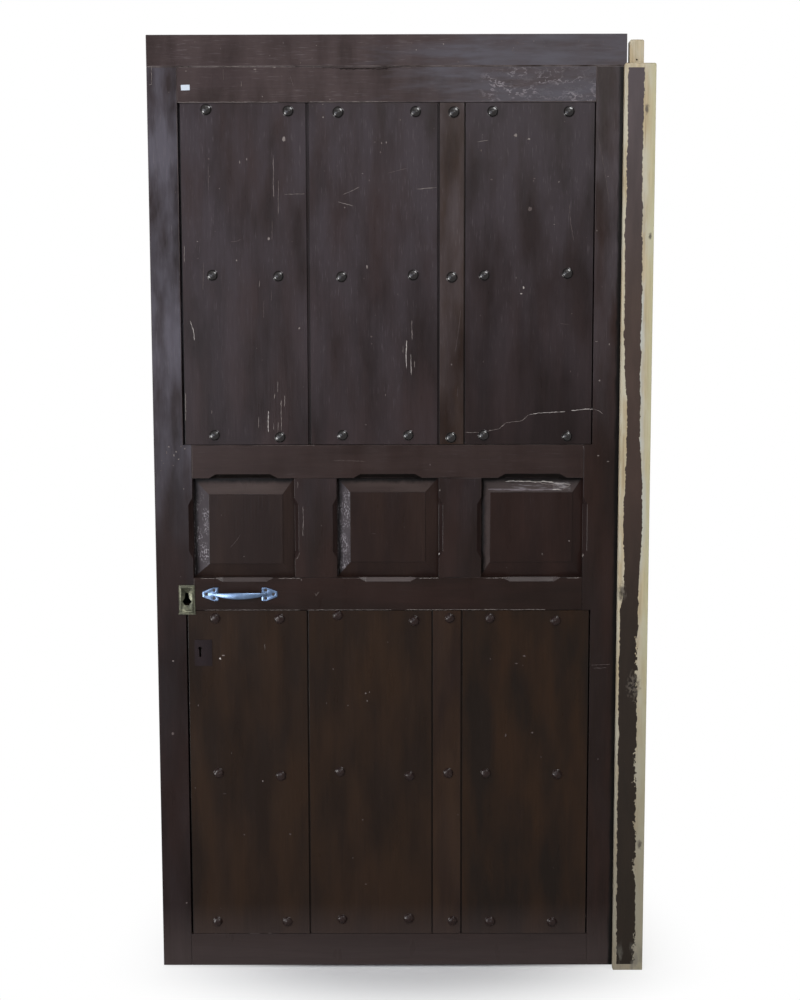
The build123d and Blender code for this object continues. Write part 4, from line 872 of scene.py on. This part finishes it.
bright, mid, dim, dark = range(4)
scratches = (
    # the free edge and the first plank, up to the middle studs
    (bright, 1.6, (84, 1454), (91, 1433), (93, 1411)),
    (mid, 1.4, (74, 1614), (74, 1578)),
    (mid, 1.6, (71, 1299), (71, 1236)),
    (mid, 1.5, (128, 1261), (127, 1252)),
    (dim, 1.3, (115, 1578), (113, 1519)),
    (mid, 1.3, (236, 1540), (234, 1525)),
    (dim, 1.2, (244, 1497), (243, 1459)),
    (dim, 1.2, (261, 1519), (260, 1495)),
    # claw marks down to its foot
    (bright, 2.2, (251, 1259), (250, 1212)),
    (mid, 1.6, (272, 1323), (272, 1299)),
    (mid, 1.6, (265, 1296), (264, 1284)),
    (mid, 1.8, (287, 1293), (286, 1267)),
    (mid, 1.8, (279, 1282), (279, 1214)),
    (mid, 1.6, (230, 1247), (229, 1221)),
    (mid, 1.4, (262, 1234), (262, 1217)),
    (mid, 1.4, (272, 1236), (271, 1204)),
    # the first plank's top
    (mid, 1.4, (267, 1806), (268, 1773), (267, 1743), (268, 1716)),
    (mid, 1.2, (278, 1752), (277, 1680)),
    (mid, 1.2, (290, 1722), (338, 1723)),
    (dim, 1.2, (129, 1787), (128, 1731)),
    (dim, 1.2, (264, 1667), (263, 1625)),
    (dim, 1.2, (174, 1622), (187, 1623), (197, 1628)),
    # the second plank
    (mid, 1.4, (416, 1721), (435, 1729), (451, 1737)),
    (mid, 1.4, (405, 1706), (438, 1697)),
    (dim, 1.2, (512, 1766), (556, 1777)),
    (mid, 1.4, (574, 1732), (618, 1736)),
    (bright, 2.6, (552, 1411), (551, 1381), (552, 1350)),
    (bright, 1.6, (561, 1381), (562, 1336)),
    (mid, 1.6, (563, 1454), (564, 1411)),
    (mid, 1.4, (544, 1399), (544, 1383)),
    (mid, 1.4, (569, 1366), (569, 1351)),
    # the narrow plank, the last plank and the hinge stile
    (dim, 1.2, (669, 1476), (663, 1422), (657, 1386)),
    (dim, 1.2, (663, 1312), (661, 1288)),
    (mid, 1.3, (703, 1831), (727, 1835)),
    (dim, 1.2, (901, 1700), (904, 1659), (912, 1619)),
    (dim, 1.3, (883, 1446), (903, 1444)),
    (dim, 1.1, (959, 1846), (969, 1804), (978, 1756), (986, 1703)),
    (mid, 1.3, (956, 1408), (966, 1407)),
    # one long score from the narrow plank to the hinge stile
    (mid, 1.3, (680, 1211), (714, 1211), (753, 1219), (768, 1232), (802, 1236), (817, 1249)),
    (bright, 1.4, (817, 1249), (840, 1253), (897, 1256)),
    (bright, 1.8, (909, 1258), (940, 1261), (960, 1261)),
    (mid, 1.3, (960, 1261), (972, 1256), (979, 1249)),
    # rails, muntins and panels
    (mid, 1.6, (201, 1959), (201, 1946)),
    (dim, 1.4, (163, 1985), (164, 1960)),
    (dim, 1.2, (305, 1971), (312, 1948)),
    (dim, 1.2, (392, 1150), (426, 1150), (461, 1148)),
    (mid, 1.6, (324, 1050), (325, 1017), (323, 984)),
    (mid, 1.6, (314, 1105), (313, 1090)),
    (mid, 1.3, (317, 948), (312, 937), (309, 932)),
    (mid, 1.3, (348, 858), (352, 852), (358, 861)),
    (dim, 1.2, (185, 987), (178, 975), (163, 958)),
    (dim, 1.2, (474, 988), (484, 988)),
    # the white of the torn slope, along its upper edge and at its right end
    (bright, 2.6, (768, 1102), (786, 1103), (804, 1102), (826, 1103)),
    (bright, 3.4, (818, 1102), (838, 1101), (858, 1102), (874, 1100)),
    (bright, 2.4, (868, 1100), (884, 1097), (898, 1097), (912, 1095)),
    (mid, 2.0, (846, 1098), (866, 1096), (884, 1093)),
    (bright, 2.4, (870, 1084), (882, 1085), (892, 1083)),
    (mid, 2.2, (893, 1084), (901, 1089), (911, 1095)),
    (mid, 1.6, (884, 1089), (896, 1092)),
    # painted highlights along the upper arrises of the ledges under the panels
    (mid, 1.6, (97, 890.5), (141, 890.5)),
    (mid, 1.6, (268, 890.5), (318, 890.5)),
    (dim, 1.6, (409, 890.5), (452, 890.5)),
    (mid, 1.6, (578, 890.5), (622, 890.5)),
    (mid, 1.6, (723, 890.5), (773, 890.5)),
    (mid, 1.6, (900, 890.5), (932, 890.5)),
    # below the lock rail
    (mid, 1.2, (237, 744), (237, 729)),
    (dim, 1.4, (958, 695), (1002, 697)),
    (dim, 1.4, (963, 688), (994, 689)),
    (dim, 1.2, (139, 404), (148, 403)),
    # arrises of the rails: pale strokes, partly rubbed bare and partly painted highlights
    (mid, 1.4, (62, 1988), (180, 1989), (318, 1988)),
    (dim, 1.4, (540, 1987), (640, 1988), (726, 1988)),
    (mid, 1.4, (60, 1915), (170, 1915), (280, 1915)),
    (mid, 1.4, (345, 1915), (430, 1915), (515, 1915)),
    (dim, 1.4, (775, 1915), (880, 1915), (958, 1915)),
    (dim, 1.4, (215, 1183), (290, 1183), (352, 1183)),
    (mid, 1.4, (105, 820), (210, 820), (316, 820)),
    (mid, 1.3, (332, 820), (430, 820), (520, 820)),
    (mid, 1.4, (548, 820), (700, 820), (858, 820)),
    (dim, 1.3, (105, 79), (180, 79), (262, 79)),
    # a patch let into the end of the free edge, and painted shade in the open joint under the top board
    (mid, 1.2, (3, 1990), (11, 1990), (11, 1952), (4, 1951)),
    (dark, 1.8, (372, 1986), (420, 1985), (480, 1985), (545, 1987)),
    (dark, 3.6, (410, 1984), (440, 1983), (490, 1983), (514, 1984)),
)
chips = (
    (bright, 804, 1523, 4, 9), (bright, 799, 1510, 6, 4), (bright, 138, 711, 6, 6), (bright, 623, 943, 4, 8),
    (mid, 291, 1838, 9, 14), (mid, 231, 1983, 8, 3), (mid, 272, 1987, 7, 3), (mid, 196, 1790, 3, 9),
    (mid, 211, 1796, 3, 7), (mid, 499, 1829, 3, 6), (mid, 509, 1830, 3, 6), (mid, 785, 1845, 11, 9),
    (mid, 813, 1837, 7, 6), (mid, 256, 1628, 8, 8), (mid, 467, 1568, 5, 11), (mid, 320, 1437, 5, 6),
    (mid, 33, 1181, 6, 5), (mid, 44, 1162, 3, 7), (mid, 68, 1177, 3, 5), (mid, 970, 1323, 5, 5),
    (mid, 990, 1401, 3, 6), (mid, 649, 1358, 4, 5), (mid, 34, 706, 6, 4), (mid, 145, 718, 10, 3),
    (mid, 460, 632, 6, 4), (mid, 463, 615, 5, 5), (mid, 969, 1160, 6, 4), (mid, 991, 1147, 8, 3),
    (mid, 624, 1085, 3, 7), (mid, 939, 939, 5, 10), (mid, 909, 971, 4, 5), (dim, 734, 1752, 6, 4),
    (dim, 826, 1754, 7, 3), (dim, 476, 1419, 5, 5), (dim, 817, 1690, 12, 14), (dim, 30, 542, 9, 9),
    (dim, 811, 716, 8, 6), (dim, 794, 699, 8, 4), (dim, 771, 536, 5, 10), (dim, 830, 542, 7, 5),
    (dim, 186, 309, 5, 4), (dim, 289, 310, 6, 5), (dim, 54, 151, 7, 5), (dim, 458, 194, 7, 3),
    (mid, 49, 1170, 4, 4), (mid, 54, 1154, 4, 3), (dim, 17, 1151, 3, 3), (dim, 60, 1182, 4, 4),
    (dim, 15, 1129, 3, 3), (dim, 21, 1145, 3, 3), (dim, 42, 1140, 5, 3), (dim, 28, 1168, 4, 8),
)
leaf_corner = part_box("lock_stile")[0]
skin = bmesh.new()
for timber in timbers:
    skin.from_mesh(timber.data)
leaf_skin = BVHTree.FromBMesh(skin)
skin.free()
chance = random.Random(3)
form = bmesh.new()
for mark in scratches:
    scratch(form, *mark)
for mark in chips:
    chip(form, *mark)
# small chips by chance, close together high up and rare lower down
chips_by_chance = 130
for number in range(chips_by_chance):
    place = chance.uniform(8, 1008), 2040 * (1 - chance.random() ** 2.6 * 0.97)
    size = chance.uniform(1.5, 4.0), chance.uniform(1.5, 6.0)
    chip(form, chance.choice((mid, dim, dim, dim)), *place, *size)
bmesh.ops.recalc_face_normals(form, faces=form.faces)
wear = made("paint_wear", form)
tones = (
    ("wood_in_deep_scratches", "#8d8580", "#c4bdb6"),
    ("undercoat_in_scratches", "#5c534f", "#8f8680"),
    ("scuffed_paint", "#3d3432", "#665b57"),
    ("painted_shade_of_open_joint", "#0c0706", "#1a0f0c"),
)
for tone in tones:
    wear.data.materials.append(worn_spot(*tone))
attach(wear, "leaf")

# Paper label: a small blank sticker on the top rail, cut from coated paper with its own glue. It was
# put on a little crooked, and its corners are lifting.


def label_paper():
    """White coated paper, faintly blue, with a fibre of 1 mm."""
    tones = ("#b4bdc6", "#c9d1d9")
    material, tree, shader, _, _ = spotted("blank_label_paper", 1, tones, detail=3.0)
    fill(tree, shader, {"Roughness": 0.5})
    return material


label_wide, label_tall, label_thick = 0.0185, 0.0114, 0.0002
lean, lift = 0.03, 0.0006
label_middle = Vector((leaf_corner.x + 0.0824, 0, 1.9455))
label_middle.y = skin_depth(label_middle.x, label_middle.z)
form = bmesh.new()
bmesh.ops.create_grid(form, x_segments=8, y_segments=5, size=0.5)
for vert in form.verts:
    curl = (abs(vert.co.x) * abs(vert.co.y) * 4) ** 3 * lift
    x, z = vert.co.x * label_wide, vert.co.y * label_tall
    vert.co = label_middle + Vector((x - z * lean, -0.0001 - curl, z + x * lean))
bmesh.ops.recalc_face_normals(form, faces=form.faces)
bmesh.ops.solidify(form, geom=form.faces[:], thickness=label_thick)
bmesh.ops.recalc_face_normals(form, faces=form.faces)
label = made("blank_label", form)
label.data.materials.append(label_paper())
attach(label, "leaf")

# Studio: a pale floor, a white surround, soft lamps and the camera at the photograph's place. The
# lamps stand where the door's sheen and shadows show that light came from, and two more, the glints,
# only show as highlights on the studs and the metal.
scene = bpy.context.scene
scene.view_settings.view_transform = "Standard"


def seen_directly(tree):
    """One where a ray comes from the camera, a reflection or glass, and zero where it only lights."""
    path = add(tree, "LightPath")
    seen = path.outputs["Is Camera Ray"]
    for kind in ("Is Glossy Ray", "Is Transmission Ray"):
        seen = add(tree, "Math", {0: seen, 1: path.outputs[kind]}, operation="MAXIMUM")
    return seen


def pale_floor():
    """Matt white paper that keeps the shadow near the door and turns to plain white further off."""
    material, tree, shader, place = new_finish("white_studio_paper")
    # the shadow is kept four times as far behind the jamb, where the leaf swings
    axes = add(tree, "SeparateXYZ", {0: place})
    behind = add(tree, "MapRange", {"Value": axes.outputs["Y"], 1: 0.0, 2: 1.2, 3: 0.0, 4: 0.9})
    depth = add(tree, "Math", {0: axes.outputs["Y"], 1: behind}, operation="SUBTRACT")
    near = add(tree, "CombineXYZ", {0: axes.outputs["X"], 1: depth})
    near = {0: near, "Location": (-0.5, 0, 0), "Scale": (2.4, 1, 1)}
    near = add(tree, "Mapping", near, vector_type="TEXTURE")
    off = add(tree, "VectorMath", {0: near}, operation="LENGTH")
    away = add(tree, "MapRange", {"Value": off, 1: 0.05, 2: 0.3}, interpolation_type="SMOOTHSTEP")
    amount = add(tree, "Math", {0: away, 1: seen_directly(tree)}, operation="MULTIPLY")
    paper = add(tree, "BsdfDiffuse", {"Color": linear("#f7f7f6")})
    plain = add(tree, "Emission", {"Color": (1, 1, 1, 1), "Strength": 1.0})
    both = add(tree, "MixShader", {0: amount, 1: paper, 2: plain})
    fill(tree, tree.nodes["Material Output"], {"Surface": both})
    tree.nodes.remove(shader)
    return material


floor_mesh = bpy.data.meshes.new("studio_floor")
reach = 30
corners = [(-reach, -reach, 0), (reach, -reach, 0), (reach, reach, 0), (-reach, reach, 0)]
floor_mesh.from_pydata(corners, [], [(0, 1, 2, 3)])
floor_mesh.materials.append(pale_floor())
floor = bpy.data.objects.new("studio_floor", floor_mesh)
scene.collection.objects.link(floor)

scene.world = bpy.data.worlds.new("studio_surround")
scene.world.use_nodes = True
sky = scene.world.node_tree
strength = add(sky, "MapRange", {"Value": seen_directly(sky), 3: 0.34, 4: 1.0})
fill(sky, sky.nodes["Background"], {"Color": (1, 1, 1, 1), "Strength": strength})

lamps = (
    ("left_window", (-2.15, -2.75, 1.3), (-2.15, 0.0, 1.3), (2.0, 1.3), 34.0, "#eaefff", True),
    ("left_key", (-3.3, -2.2, 1.7), (-0.5, 0.0, 1.3), (1.5, 1.5), 32.0, "#f4f6ff", True),
    ("right_softbox", (0.1, -2.75, 2.5), (-0.3, 0.0, 1.6), (1.0, 0.5), 14.0, "#ffffff", True),
    ("left_fill", (-1.0, -2.75, 2.45), (-0.6, 0.0, 1.4), (0.9, 0.35), 3.5, "#ffffff", True),
    ("front_overhead", (-0.4, -2.0, 4.0), (-0.45, 0.0, 1.3), (2.0, 1.2), 20.0, "#ffffff", True),
    ("rear_fill", (-0.5, 3.2, 1.5), (-0.5, 0.0, 1.1), (1.6, 1.2), 30.0, "#ffffff", True),
    ("low_glint", (-2.9, -0.9, 0.55), (-0.6, 0.0, 1.5), (1.6, 1.0), 125.0, "#ffffff", False),
    ("high_glint", (0.9, -0.9, 3.6), (-0.5, 0.0, 1.6), (1.2, 1.2), 115.0, "#ffffff", False),
)
for name, spot, target, (wide, tall), power, tint, lights in lamps:
    lamp = bpy.data.lights.new(name, "AREA")
    lamp.shape = "RECTANGLE"
    lamp.size, lamp.size_y = wide, tall
    lamp.energy = power
    lamp.color = linear(tint)[:3]
    holder = bpy.data.objects.new(name, lamp)
    holder.location = spot
    holder.rotation_euler = (Vector(target) - Vector(spot)).to_track_quat("-Z", "Y").to_euler()
    holder.visible_diffuse = lights
    holder.visible_camera = False
    scene.collection.objects.link(holder)

lens = bpy.data.cameras.new("front_camera")
lens.sensor_fit = "VERTICAL"
lens.sensor_height = 36.0
lens.lens = 52.6
camera = bpy.data.objects.new("front_camera", lens)
camera.location = (-0.5083, -3.1899, 1.4002)
camera.rotation_euler = (math.radians(90 - 6.048), math.radians(0.12), math.radians(0.125))
scene.collection.objects.link(camera)
scene.camera = camera
